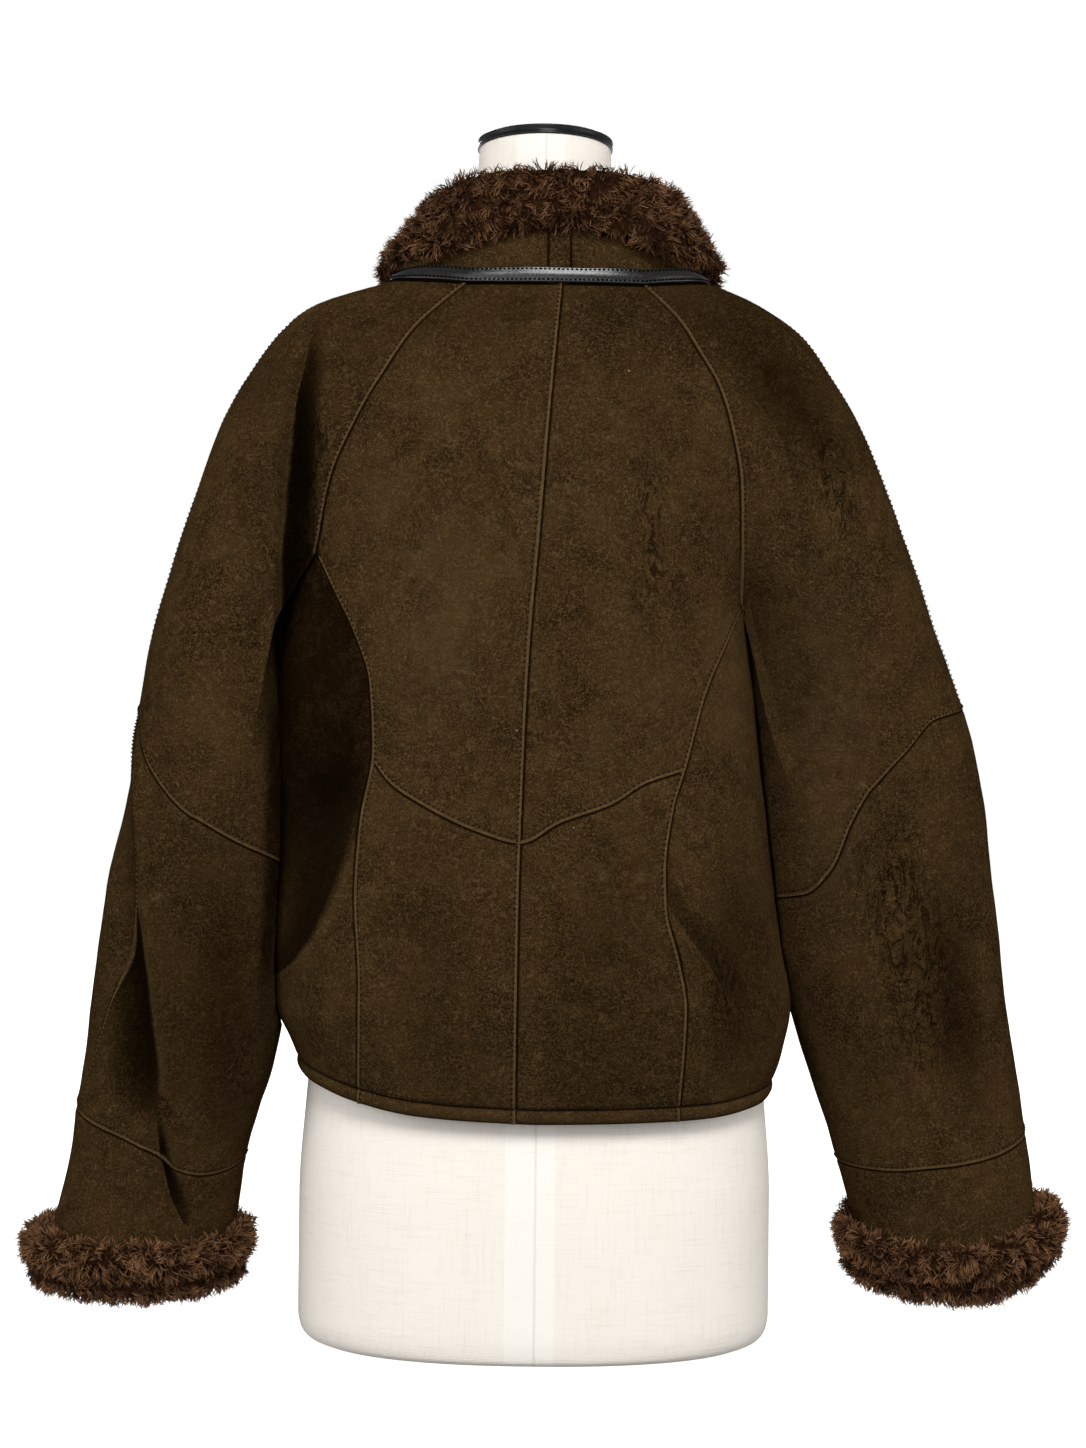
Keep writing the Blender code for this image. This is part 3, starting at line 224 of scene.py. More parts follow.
RIGHT_FRONT_SIDE = Table("height out", (190, 116), (300, 112), (400, 116), (500, 134), (560, 152))

# The yoke seam's height across the back, from side seam to side seam by way of the centre back.
YOKE = Table(
    "across height", (-108, 438), (-78, 428), (-54, 413), (-16, 399), (12.3, 384), (46, 393), (88, 413),
    (109, 427), (122, 444),
)
# The hem's height round the body, by degrees from the centre back.
LEFT_HEM = Table("round height", (0, 179), (25, 183), (45, 191), (65, 200), (90, 206), (130, 200),
                 (180, 190))
RIGHT_HEM = Table("round height", (0, 179), (40, 181), (65, 186), (90, 191), (130, 190), (180, 190))

# Seams round a sleeve: degrees from its outer line, past the back or front to its inner line.
LEFT_ELBOW = Table("turn height", (0, 481), (20, 474), (55, 433), (90, 397), (120, 378), (180, 356))
RIGHT_ELBOW = Table(
    "turn height", (0, 488), (40, 478), (61, 452), (75, 431), (92, 398), (110, 360), (128, 342), (180, 336)
)
LEFT_CUFF_SEAM = Table("turn height", (0, 174), (43, 163), (70, 155), (90, 144), (104, 131), (125, 126),
                       (180, 136))
RIGHT_CUFF_SEAM = Table("turn height", (0, 159), (30, 152), (60, 143), (90, 136), (120, 132), (180, 134))
# The seam down the forearm's outer side, by how far down from the armpit to the cuff.
LEFT_FOREARM = Table("down turn", (0.22, 0), (0.325, 40), (0.487, 60), (0.77, 26), (1, 8))
RIGHT_FOREARM = Table("down turn", (0.15, 0), (0.26, -14), (1, -14))
# How far the cuff's end rises round the sleeve, which hangs a little forward.
LEFT_CUFF_TILT = Table("turn rise", (-180, 5), (-90, 9), (0, 5), (90, -3), (180, 5))
RIGHT_CUFF_TILT = Table("turn rise", (-180, 11), (-90, 30), (0, 29), (90, 0), (180, 11))
CUFF_FUR_FULL = Table("turn full", (-180, 0.7), (-90, 0.95), (0, 1.06), (90, 0.95), (180, 0.7))

# The largest folds: troughs (depth under 0) and ridges, by height, each with its half width.
FOLD_COLUMNS = "height across half depth"
BODY_BACK_FOLDS = (
    # the hollow under the left arm, over the fullness at the hem
    Table(FOLD_COLUMNS, (560, 168, 34, 0), (500, 166, 38, -8), (440, 168, 40, -13), (390, 176, 40, -13),
          (330, 188, 36, 0)),
    # a swag from the right side-back seam down to the hem
    Table(FOLD_COLUMNS, (345, -88, 16, 0), (322, -103, 18, 5), (290, -123, 20, 6), (240, -150, 20, 0)),
)
BODY_FRONT_FOLDS = (
    Table(FOLD_COLUMNS, (550, 160, 32, 0), (470, 158, 38, -9), (400, 166, 38, -9), (330, 180, 34, 0)),
    Table(FOLD_COLUMNS, (540, -138, 26, 0), (450, -140, 32, -6), (350, -146, 30, 0)),
)
ARM_BACK_FOLDS = (
    # the valley between the left sleeve and its armhole
    Table(FOLD_COLUMNS, (762, 170, 16, 0), (712, 179, 19, -8), (650, 185, 20, -12), (603, 189, 18, 0)),
    # the left sleeve's long fold, behind its outer side
    Table(FOLD_COLUMNS, (510, 290, 22, 0), (440, 301, 24, 5), (347, 299, 26, 8), (284, 290, 26, 8),
          (180, 281, 24, 0)),
    # a pinch beside it, through the cuff band
    Table(FOLD_COLUMNS, (170, 287, 14, 0), (140, 283, 18, -6), (108, 274, 18, -7), (84, 265, 16, 0)),
    # the soft dip over the right upper arm
    Table(FOLD_COLUMNS, (775, -172, 16, 0), (736, -194, 20, -7), (690, -208, 22, -5), (630, -216, 20, 0)),
)
ARM_FRONT_FOLDS = (
    Table(FOLD_COLUMNS, (752, 166, 16, 0), (705, 176, 20, -8), (650, 184, 20, -9), (603, 189, 18, 0)),
    Table(FOLD_COLUMNS, (742, -160, 16, 0), (690, -172, 20, -7), (630, -178, 20, -7), (570, -180, 18, 0)),
    Table(FOLD_COLUMNS, (470, 262, 24, 0), (380, 250, 26, -7), (300, 252, 24, 0)),
    Table(FOLD_COLUMNS, (420, -262, 24, 0), (340, -270, 26, -7), (250, -286, 24, 0)),
)
FOLD_FROM, FOLD_FULL = 10.0, 40.0  # folds fade out this near to a section's side edges

# The collar: from the seam up to the crest of its roll, by degrees round the neck from the back,
# how far up it the turned-over fur reaches down, how full that fur is, and how far out its lower
# edge stands.
NECK_AXIS = np.array([-10.5, -10.0, 0.0])
COLLAR = Table(
    "round out high fall full skirt",
    (0, 70, 886, 0.52, 1.0, 12),
    (35, 76, 886, 0.42, 1.0, 12),
    (60, 82, 882, 0.24, 1.05, 14),
    (80, 88, 877, 0.17, 1.1, 20),
    (96, 90, 871, 0.03, 1.1, 25),
    (130, 84, 852, 0.05, 1.2, 20),
    (180, 76, 820, 0.06, 1.2, 15),
)
TAB_FROM, TAB_TO = -20.0, -4.0  # the strip at the middle of the stand

# The dress form, from its flat base to the top of its neck.
FORM = Table(
    "height half back front middle power",
    (0, 166, 123, 123, 0, 2.3),
    (3, 174, 126.5, 126.5, 0, 2.3),
    (9, 179, 128, 128, 0, 2.3),
    (20, 181, 129, 129, 0, 2.3),
    (110, 181, 128, 128, 0, 2.3),
    (180, 176.5, 125, 125, 0, 2.3),
    (215, 173, 123, 123, 0, 2.3),
    (330, 145, 104, 105, 0, 2.3),
    (400, 132, 96, 98, 0, 2.3),
    (480, 141, 102, 110, 0, 2.3),
    (560, 153, 107, 118, 0, 2.3),
    (640, 158, 100, 102, 0, 2.3),
    (700, 160, 88, 84, 0, 2.4),
    (750, 160, 71, 67, 0, 2.4),
    (779, 155.5, 59, 51.3, 0, 2.4),
    (793.5, 143, 51, 44, -2, 2.3),
    (800.5, 128, 47, 40, -3, 2.2),
    (805, 107.5, 45, 39.5, -5, 2.1),
    (811, 81, 45.5, 44.5, -9, 2.0),
    (826, 64, 49, 51, -12, 2.0),
    (845, 54, 51, 52, -12, 2.0),
    (915.5, 51, 51, 51, -12, 2.0),
)
NECK_MIDDLE = -12.0
CAP_HIGH, CAP_OVER, CAP_TILT = 7.5, 1.6, math.radians(5)


# ---------------------------------------------------------------- the surface
def smooth(share):
    share = np.clip(share, 0.0, 1.0)
    return share * share * (3 - 2 * share)


def signed_power(value, power):
    return np.sign(value) * np.abs(value) ** power


def between(first, last, share):
    return first + (last - first) * share


def joined(*columns):
    """Columns of coordinates as one array of points."""
    return np.stack(columns, axis=-1)


def unit(vectors):
    """The same directions, each a unit long."""
    return vectors / np.maximum(np.linalg.norm(vectors, axis=-1, keepdims=True), 1e-9)


def smooth_max(a, b, reach):
    near = np.maximum(reach - np.abs(a - b), 0.0) / reach
    return np.maximum(a, b) + near * near * reach / 4


def fold_rise(tables, x, z):
    """How far these folds raise the surface at this place."""
    rise = 0.0 * x
    for table in tables:
        near = smooth(1 - np.abs(x - table.read("across", z)) / table.read("half", z))
        rise = rise + near * table.read("depth", z)
    return rise


def folded(point, middle, face, back_folds, front_folds):
    """The point with its folds, which fade out towards the middle line between back and front."""
    x, y, z = point[..., 0], point[..., 1], point[..., 2]
    rise = np.where(face > 0, fold_rise(back_folds, x, z), fold_rise(front_folds, x, z))
    weight = smooth((np.abs(y - middle) - FOLD_FROM) / (FOLD_FULL - FOLD_FROM))
    return joined(x, y + face * rise * weight, z)


def body_fold(point, face):
    return folded(point, 0.0, face, BODY_BACK_FOLDS, BODY_FRONT_FOLDS)


def arch(offset, half, depth, power):
    """The height of a rounded section over its middle line, negative past its edges."""
    return depth * signed_power(1 - np.abs(offset / half) ** power, 1 / power)


def body_half(hand, z):
    """The body's half width on the wearer's left (hand 1) or right (-1)."""
    return BODY.read("left" if hand > 0 else "right", z)


def body_depth(behind, z):
    return np.where(behind, BODY.read("back", z), BODY.read("front", z))


def body_rise(x, z, face):
    half = np.where(x >= 0, BODY.read("left", z), BODY.read("right", z))
    return arch(x, half, body_depth(face > 0, z), BODY.read("power", z))


def arm_rise(x, z, face):
    """How far a sleeve's section reaches behind (face 1) or in front (-1) at this place."""
    row = {}
    for column in ("inner", "outer", "middle", "back", "front"):
        row[column] = np.where(x >= 0, LEFT_ARM.read(column, z), RIGHT_ARM.read(column, z))
    centre = (row["inner"] + row["outer"]) / 2
    half = (row["outer"] - row["inner"]) / 2
    depth = np.where(face > 0, row["back"], row["front"])
    return face * row["middle"] + arch(np.abs(x) - centre, half, depth, ARM_POWER)


def torso_y(x, z, face):
    """The jacket's surface behind (face 1) or in front (-1), where body and sleeves run together."""
    return face * smooth_max(body_rise(x, z, face), arm_rise(x, z, face), SHOULDER_BLEND)


def torso_point(x, z, face):
    x, z = np.broadcast_arrays(np.asarray(x, float), np.asarray(z, float))
    return body_fold(joined(x, torso_y(x, z, face), z), face)


def round_of(out, z, hand, back):
    """The angle round the body's section, from the centre back, at this distance out."""
    share = np.clip(np.abs(out) / body_half(hand, z), 0, 1)
    angle = np.arcsin(share ** (BODY.read("power", z) / 2))
    return angle if back else math.pi - angle


def side_point(angle, z, hand):
    angle, z = np.broadcast_arrays(np.asarray(angle, float), np.asarray(z, float))
    power = BODY.read("power", z)
    x = hand * body_half(hand, z) * signed_power(np.sin(angle), 2 / power)
    y = body_depth(np.cos(angle) >= 0, z) * signed_power(np.cos(angle), 2 / power)
    return body_fold(joined(x, y, z), np.where(y >= 0, 1.0, -1.0))


def hem_height(angle, hand):
    return (LEFT_HEM if hand > 0 else RIGHT_HEM).read("height", np.degrees(angle))


class Arm:
    """One sleeve: its tables and the surface from the collar seam to the cuff."""

    def __init__(self, hand):
        left = hand > 0
        self.hand = hand
        self.side = "left" if left else "right"
        self.sections = LEFT_ARM if left else RIGHT_ARM
        self.back_raglan = LEFT_BACK_RAGLAN if left else RIGHT_BACK_RAGLAN
        self.front_raglan = LEFT_FRONT_RAGLAN if left else RIGHT_FRONT_RAGLAN
        self.back_side = LEFT_BACK_SIDE if left else RIGHT_BACK_SIDE
        self.front_side = LEFT_FRONT_SIDE if left else RIGHT_FRONT_SIDE
        self.elbow = LEFT_ELBOW if left else RIGHT_ELBOW
        self.cuff_seam = LEFT_CUFF_SEAM if left else RIGHT_CUFF_SEAM
        self.forearm = LEFT_FOREARM if left else RIGHT_FOREARM
        self.cuff_tilt = LEFT_CUFF_TILT if left else RIGHT_CUFF_TILT
        self.split = self.back_raglan.at[0]
        self.yoke_end = YOKE.columns["height"][-1 if left else 0]
        self.hole_share = ARMHOLE_COLUMNS / (ARMHOLE_COLUMNS + SLEEVE_COLUMNS)

    def ring(self, turn, z):
        """A point of the sleeve's level section: turn 0 is its outer line, +90 degrees its back."""
        row = {c: self.sections.read(c, z) for c in ARM_COLUMNS.split()[1:]}
        centre = (row["inner"] + row["outer"]) / 2
        half = (row["outer"] - row["inner"]) / 2
        depth = np.where(np.sin(turn) >= 0, row["back"], row["front"])
        along = signed_power(np.cos(turn), 2 / ARM_POWER)
        y = row["middle"] + depth * signed_power(np.sin(turn), 2 / ARM_POWER) + row["lean"] * along
        return centre + half * along, y

    def raglan_out(self, z, face):
        return np.where(face > 0, self.back_raglan.read("out", z), self.front_raglan.read("out", z))

    def raglan_turn(self, z, face):
        out = self.raglan_out(z, face)
        inner, outer = self.sections.read("inner", z), self.sections.read("outer", z)
        along = np.clip((out - (inner + outer) / 2) / ((outer - inner) / 2), -1, 1)
        return np.arccos(signed_power(along, ARM_POWER / 2))

    def armhole(self, share, face):
        """The seam under the arm, from the raglan seam's end (share 0) to the underarm (share 1)."""
        height = self.split - ARMHOLE_DROP * np.sin(share * math.pi / 2) ** 1.5
        start = round_of(self.back_raglan.read("out", self.split), self.split, self.hand, True)
        angle = between(start, math.pi / 2, share)
        return np.where(face > 0, angle, math.pi - angle), height

    def end_height(self, round_share):
        return CUFF_END + self.cuff_tilt.read("rise", 180 * np.clip(round_share, -1, 1))

    def shoulder(self, across, height, face):
        """Above the armpit: across 0 is the overarm line and 1 the raglan seam; height is -1 to 0."""
        top = np.where(face > 0, NECK_BACK, RAGLAN_FRONT)
        at_raglan = between(self.split, top, -height)
        at_ridge = between(self.split, NECK_SIDE, -height)
        by_neck = smooth((-height - NECK_FROM) / (1 - NECK_FROM))
        z = between(at_ridge, at_raglan, across ** (1 + NECK_EASE * by_neck))
        out, _ = self.ring(face * across * self.raglan_turn(at_raglan, face), z)
        ridge_out = self.sections.read("outer", at_ridge)
        raglan_out = self.raglan_out(at_raglan, face)
        round_neck = between(ridge_out, raglan_out, 1 - np.cos(across * math.pi / 2))
        x = self.hand * between(out, round_neck, by_neck)
        return joined(x, torso_y(x, z, face), z)

    def in_hole(self, round_share):
        """How far past the raglan seam's end, along the armhole, each column starts."""
        return np.clip((np.abs(round_share) - 1 + self.hole_share) / self.hole_share, 0, 1)

    def tube(self, round_share, down):
        """Below the armpit: round_share 0 is the overarm line, 1 and -1 the underarm."""
        face = np.where(round_share >= 0, 1.0, -1.0)
        share = np.abs(round_share)
        outer_share = np.clip(share / (1 - self.hole_share), 0, 1)
        hole_share = self.in_hole(round_share)
        raglan_turn = self.raglan_turn(self.split, face)
        top_turn = raglan_turn * outer_share + (math.pi - raglan_turn) * hole_share
        angle, hole_z = self.armhole(hole_share, face)
        z = between(hole_z, self.end_height(round_share), down)
        turn = between(top_turn, math.pi * share, smooth(down / EVEN_OVER))
        on_shoulder = self.shoulder(outer_share, 0.0 * share, face)
        on_hole = side_point(angle, hole_z, self.hand)
        top = np.where((hole_share > 0)[..., None], on_hole, on_shoulder)
        start_out, start_y = self.ring(face * top_turn, hole_z)
        out, y = self.ring(face * turn, z)
        fade = 1 - smooth(down / FOLD_OVER)
        out = out + (self.hand * top[..., 0] - start_out) * fade
        y = y + (top[..., 1] - start_y) * fade
        return self.clear_of_body(out, y, z, down)

    def clear_of_body(self, out, y, z, down):
        """Moves what would press on the body's side out along its section, clear of it."""
        power, half = BODY.read("power", z), body_half(self.hand, z)
        depth = body_depth(y >= 0, z)
        reach = (np.abs(out / half) ** power + np.abs(y / depth) ** power) ** (1 / power)
        clear = between(SEAM_GAP, BODY_CLEAR, smooth(down / CLEAR_OVER))
        push = np.maximum((1 + clear / half) / reach, 1.0)
        return joined(self.hand * out * push, y * push, z)

    def point(self, round_share, down):
        """The sleeve's surface: down is -1 at the collar seam, 0 at the armpit and 1 at the cuff."""
        round_share, down = np.broadcast_arrays(np.asarray(round_share, float), np.asarray(down, float))
        face = np.where(round_share >= 0, 1.0, -1.0)
        across = np.clip(np.abs(round_share) / (1 - self.hole_share), 0, 1)
        above = self.shoulder(across, np.minimum(down, 0.0), face)
        below = self.tube(round_share, np.maximum(down, 0.0))
        point = np.where((down < 0)[..., None], above, below)
        z = point[..., 2]
        along = np.cos(math.pi * round_share)
        tube_middle = self.sections.read("middle", z) + self.sections.read("lean", z) * along
        middle = tube_middle * smooth(down / FOLD_OVER)
        return folded(point, middle, face, ARM_BACK_FOLDS, ARM_FRONT_FOLDS)

    def down_at(self, round_share, z):
        """How far down the sleeve this height is, on the column at round_share."""
        _, hole_z = self.armhole(self.in_hole(round_share), 1.0)
        return (hole_z - z) / (hole_z - self.end_height(round_share))

    def seam_down(self, seam, round_share):
        """Where a seam round the sleeve crosses each column."""
        return self.down_at(round_share, seam.read("height", 180 * np.abs(round_share)))

    def axis(self, points):
        """The sleeve's middle line at each point's height, which its outside faces away from."""
        z = points[..., 2]
        middle = (self.sections.read("inner", z) + self.sections.read("outer", z)) / 2
        under = UNDER_SHOULDER * smooth((z - self.split) / SHOULDER_TURN)
        return joined(self.hand * middle, self.sections.read("middle", z), z - under)


# ---------------------------------------------------------------- creases
def nearest_on(a, b, x, z):
    """How far along the line from a to b each place is, as a share of it, and how far from there."""
    run = b[:2] - a[:2]
    t = np.clip(((x - a[0]) * run[0] + (z - a[1]) * run[1]) / (run @ run), 0, 1)
    return t, np.hypot(x - a[0] - run[0] * t, z - a[1] - run[1] * t)


class Crease:
    """A soft trough (depth under 0) or ridge along a line on the back (face 1) or the front (-1)."""

    def __init__(self, face, *rows):
        self.face = face
        self.rows = np.array(rows, float)  # across, height, half width, depth

    def rise(self, x, z):
        nearest, rise = np.full(x.shape, np.inf), np.zeros(x.shape)
        for a, b in zip(self.rows[:-1], self.rows[1:]):
            t, away = nearest_on(a, b, x, z)
            near = away / between(a[2], b[2], t)
            rise = np.where(near < nearest, between(a[3], b[3], t) * smooth(1 - near), rise)
            nearest = np.minimum(near, nearest)
        return rise


BODY_CREASES = (
    # behind, to the left: the edge of the fold that ends the hollow under the arm
    Crease(1, (121, 452, 12, 0), (134, 397, 13, 3.5), (147, 353, 13, 4.5), (162, 318, 13, 4),
           (186, 290, 12, 0)),
    Crease(1, (146, 452, 14, 0), (157, 400, 16, -4), (170, 360, 16, -5), (186, 325, 14, 0)),
    Crease(1, (24, 312, 24, 0), (38, 276, 24, -2.2), (57, 236, 20, 0)),
    Crease(1, (70, 350, 18, 0), (84, 300, 20, -1.6), (100, 250, 18, 0)),
    # behind, to the right: the swag from the side seam, its hollow and the small wrinkles on it
    Crease(1, (-96, 335, 7, 0), (-108, 313, 8, 2.6), (-128, 281, 9, 3), (-152, 236, 9, 0)),
    Crease(1, (-90, 400, 12, 0), (-92, 358, 12, -4), (-100, 328, 11, -4.5), (-116, 305, 9, -1),
           (-122, 298, 8, 0)),
    Crease(1, (-112, 330, 9, 0), (-132, 298, 10, -2.8), (-152, 262, 10, -2), (-160, 240, 9, 0)),
    Crease(1, (-124, 277, 3.5, 0), (-133, 270, 4, -1.8), (-143, 267, 4, -1.5), (-154, 271, 3.5, 0)),
    Crease(1, (-137, 288, 4, 0), (-146, 281, 4, -1.3), (-157, 280, 4, 0)),
    Crease(1, (-142, 262, 4, 0), (-149, 255, 5, -1.2), (-153, 246, 4, 0)),
    Crease(1, (-78, 645, 13, 0), (-82, 600, 13, -1.4), (-86, 555, 12, 0)),
    Crease(1, (-112, 600, 12, 0), (-116, 540, 13, -1.6), (-106, 470, 12, 0)),
    Crease(1, (58, 620, 18, 0), (66, 550, 20, -1.3), (60, 470, 18, 0)),
    Crease(1, (-44, 330, 22, 0), (-52, 280, 24, -1.6), (-44, 230, 20, 0)),
    # in front: pulls from the armholes towards the buttons, and the fall of the lower fronts
    Crease(-1, (148, 585, 12, 0), (124, 545, 14, -3.5), (96, 505, 14, -2), (70, 480, 12, 0)),
    Crease(-1, (-146, 560, 12, 0), (-120, 520, 14, -3.5), (-90, 488, 14, -2), (-62, 470, 12, 0)),
    Crease(-1, (96, 360, 16, 0), (112, 310, 18, -3), (134, 250, 16, 0)),
    Crease(-1, (-88, 350, 16, 0), (-106, 300, 18, -3), (-126, 240, 16, 0)),
    Crease(-1, (52, 430, 18, 0), (44, 370, 20, -2), (54, 310, 18, 0)),
    Crease(-1, (-60, 700, 16, 0), (-72, 640, 18, -2), (-66, 580, 16, 0)),
    Crease(-1, (66, 690, 16, 0), (78, 630, 18, -2), (74, 580, 16, 0)),
)
ARM_CREASES = (
    # the left sleeve behind: the pinch at the shoulder and the trough down beside the armhole
    Crease(1, (173, 781, 6, 0), (178, 757, 8, -4), (181, 735, 9, -5), (183, 700, 12, -6),
           (184, 650, 15, -9), (184, 606, 15, -9), (183, 570, 12, 0)),
    Crease(1, (178, 764, 5, 0), (190, 772, 6, -1.6), (205, 775, 6, 0)),
    Crease(1, (182, 748, 5, 0), (196, 747, 6, -1.8), (214, 738, 6, 0)),
    Crease(1, (179, 742, 5, 0), (166, 728, 6, -1.6), (158, 708, 6, 0)),
    Crease(1, (200, 735, 12, 0), (206, 690, 13, 2.2), (208, 640, 12, 0)),
    # its long fold: a raised edge, with the outer side turned away behind it
    Crease(1, (289, 516, 6, 0), (297, 470, 8, 2.4), (300, 405, 9, 3.6), (291, 329, 10, 4.2),
           (281, 270, 10, 4.2), (275, 206, 10, 4), (275, 172, 8, 0)),
    Crease(1, (310, 506, 10, 0), (319, 465, 13, -5), (320, 405, 15, -8), (316, 344, 17, -12),
           (308, 279, 18, -13), (302, 216, 17, -12), (298, 174, 13, -7), (291, 142, 9, 0)),
    Crease(1, (287, 175, 6, 0), (283, 148, 8, -4.5), (278, 126, 9, -5), (272, 106, 9, -4.4),
           (260, 86, 7, 0)),
    Crease(1, (296, 165, 8, 0), (292, 140, 11, 2.4), (286, 115, 11, 2.4), (276, 92, 9, 0)),
    Crease(1, (236, 345, 12, 0), (228, 300, 13, -2.6), (238, 252, 12, 0)),
    Crease(1, (262, 300, 14, 0), (256, 250, 14, -2), (262, 205, 12, 0)),
    Crease(1, (214, 420, 14, 0), (222, 370, 14, -2.2), (216, 318, 12, 0)),
    Crease(1, (244, 560, 16, 0), (252, 500, 16, -2.4), (248, 440, 14, 0)),
    # the right sleeve behind: the dip over the upper arm, its thin raised edge, and the forearm's wrinkles
    Crease(1, (-176, 768, 9, 0), (-197, 736, 11, -2.6), (-208, 692, 11, -2.4), (-214, 650, 10, 0)),
    Crease(1, (-150, 728, 6, 0), (-166, 706, 7, 2.4), (-180, 682, 7, 3), (-192, 625, 7, 3),
           (-197, 592, 6, 0)),
    Crease(1, (-154, 706, 8, 0), (-168, 674, 10, -3.4), (-178, 630, 11, -4), (-183, 580, 9, 0)),
    Crease(1, (-258, 562, 9, 0), (-260, 530, 10, -2.8), (-262, 488, 9, 0)),
    Crease(1, (-294, 385, 9, 0), (-297, 360, 10, -3), (-300, 309, 10, -3.4), (-289, 265, 9, -2.6),
           (-268, 248, 8, 0)),
    Crease(1, (-246, 362, 11, 0), (-266, 318, 12, -2.8), (-262, 268, 11, 0)),
    Crease(1, (-284, 345, 7, 0), (-279, 318, 8, 1.8), (-276, 286, 7, 0)),
    Crease(1, (-236, 310, 9, 0), (-250, 272, 10, -2.4), (-266, 236, 9, 0)),
    Crease(1, (-306, 262, 10, 0), (-322, 232, 11, -2.2), (-328, 196, 9, 0)),
    Crease(1, (-282, 440, 9, 0), (-300, 425, 10, -2), (-318, 402, 8, 0)),
    Crease(1, (-330, 330, 9, 0), (-334, 285, 10, -2.2), (-342, 240, 9, 0)),
    Crease(1, (-306, 128, 9, 0), (-300, 105, 10, -2.2), (-304, 78, 9, 0)),
    # in front: the bend of each elbow and the upper arms' fall
    Crease(-1, (222, 470, 9, 0), (244, 452, 11, -4), (270, 446, 11, -3.4), (292, 452, 9, 0)),
    Crease(-1, (214, 420, 9, 0), (238, 410, 11, -3.6), (266, 402, 10, -2.4), (286, 404, 9, 0)),
    Crease(-1, (226, 380, 9, 0), (244, 366, 10, -2.6), (262, 360, 9, 0)),
    Crease(-1, (-206, 470, 9, 0), (-234, 452, 11, -4), (-262, 444, 11, -3.4), (-288, 448, 9, 0)),
    Crease(-1, (-210, 414, 9, 0), (-238, 402, 11, -3.6), (-270, 398, 10, -2.4), (-296, 404, 9, 0)),
    Crease(-1, (-238, 366, 9, 0), (-260, 352, 10, -2.6), (-282, 350, 9, 0)),
    Crease(-1, (190, 760, 12, 0), (206, 710, 14, -3.4), (214, 640, 12, 0)),
    Crease(-1, (-188, 750, 12, 0), (-204, 700, 14, -3.4), (-214, 630, 12, 0)),
    Crease(-1, (250, 320, 14, 0), (262, 260, 15, -3), (274, 200, 12, 0)),
    Crease(-1, (-282, 310, 14, 0), (-296, 250, 15, -3), (-312, 190, 12, 0)),
    Crease(-1, (262, 160, 9, 0), (276, 128, 10, -2.4), (282, 90, 9, 0)),
)
# Painted shade for single panels: the shadow under the collar's wool on the stand, the shade under the left
# arm on its side panel, and a darker patch on the right forearm.
SHADOW_UNDER_WOOL = Crease(1, (111, 797, 12, 1), (63, 829, 12, 1.1), (19, 845, 12, 1.2), (-17, 849, 12, 1.2),
                    (-56, 840, 12, 1.1), (-96, 816, 12, 1), (-111, 800, 12, 1))
PANEL_SHADES = {
    "collar_stand_left": SHADOW_UNDER_WOOL,
    "collar_stand_right": SHADOW_UNDER_WOOL,
    "collar_tab": SHADOW_UNDER_WOOL,
    "side_left": Crease(1, (172, 600, 60, 1.3), (160, 520, 80, 1.5), (166, 440, 80, 1.3),
                        (190, 380, 50, 0.6), (200, 330, 30, 0)),
    "sleeve_back_lower_right": Crease(1, (-296, 350, 28, 0.1), (-303, 290, 40, 0.42),
                                      (-318, 240, 42, 0.4), (-330, 200, 36, 0.1)),
}
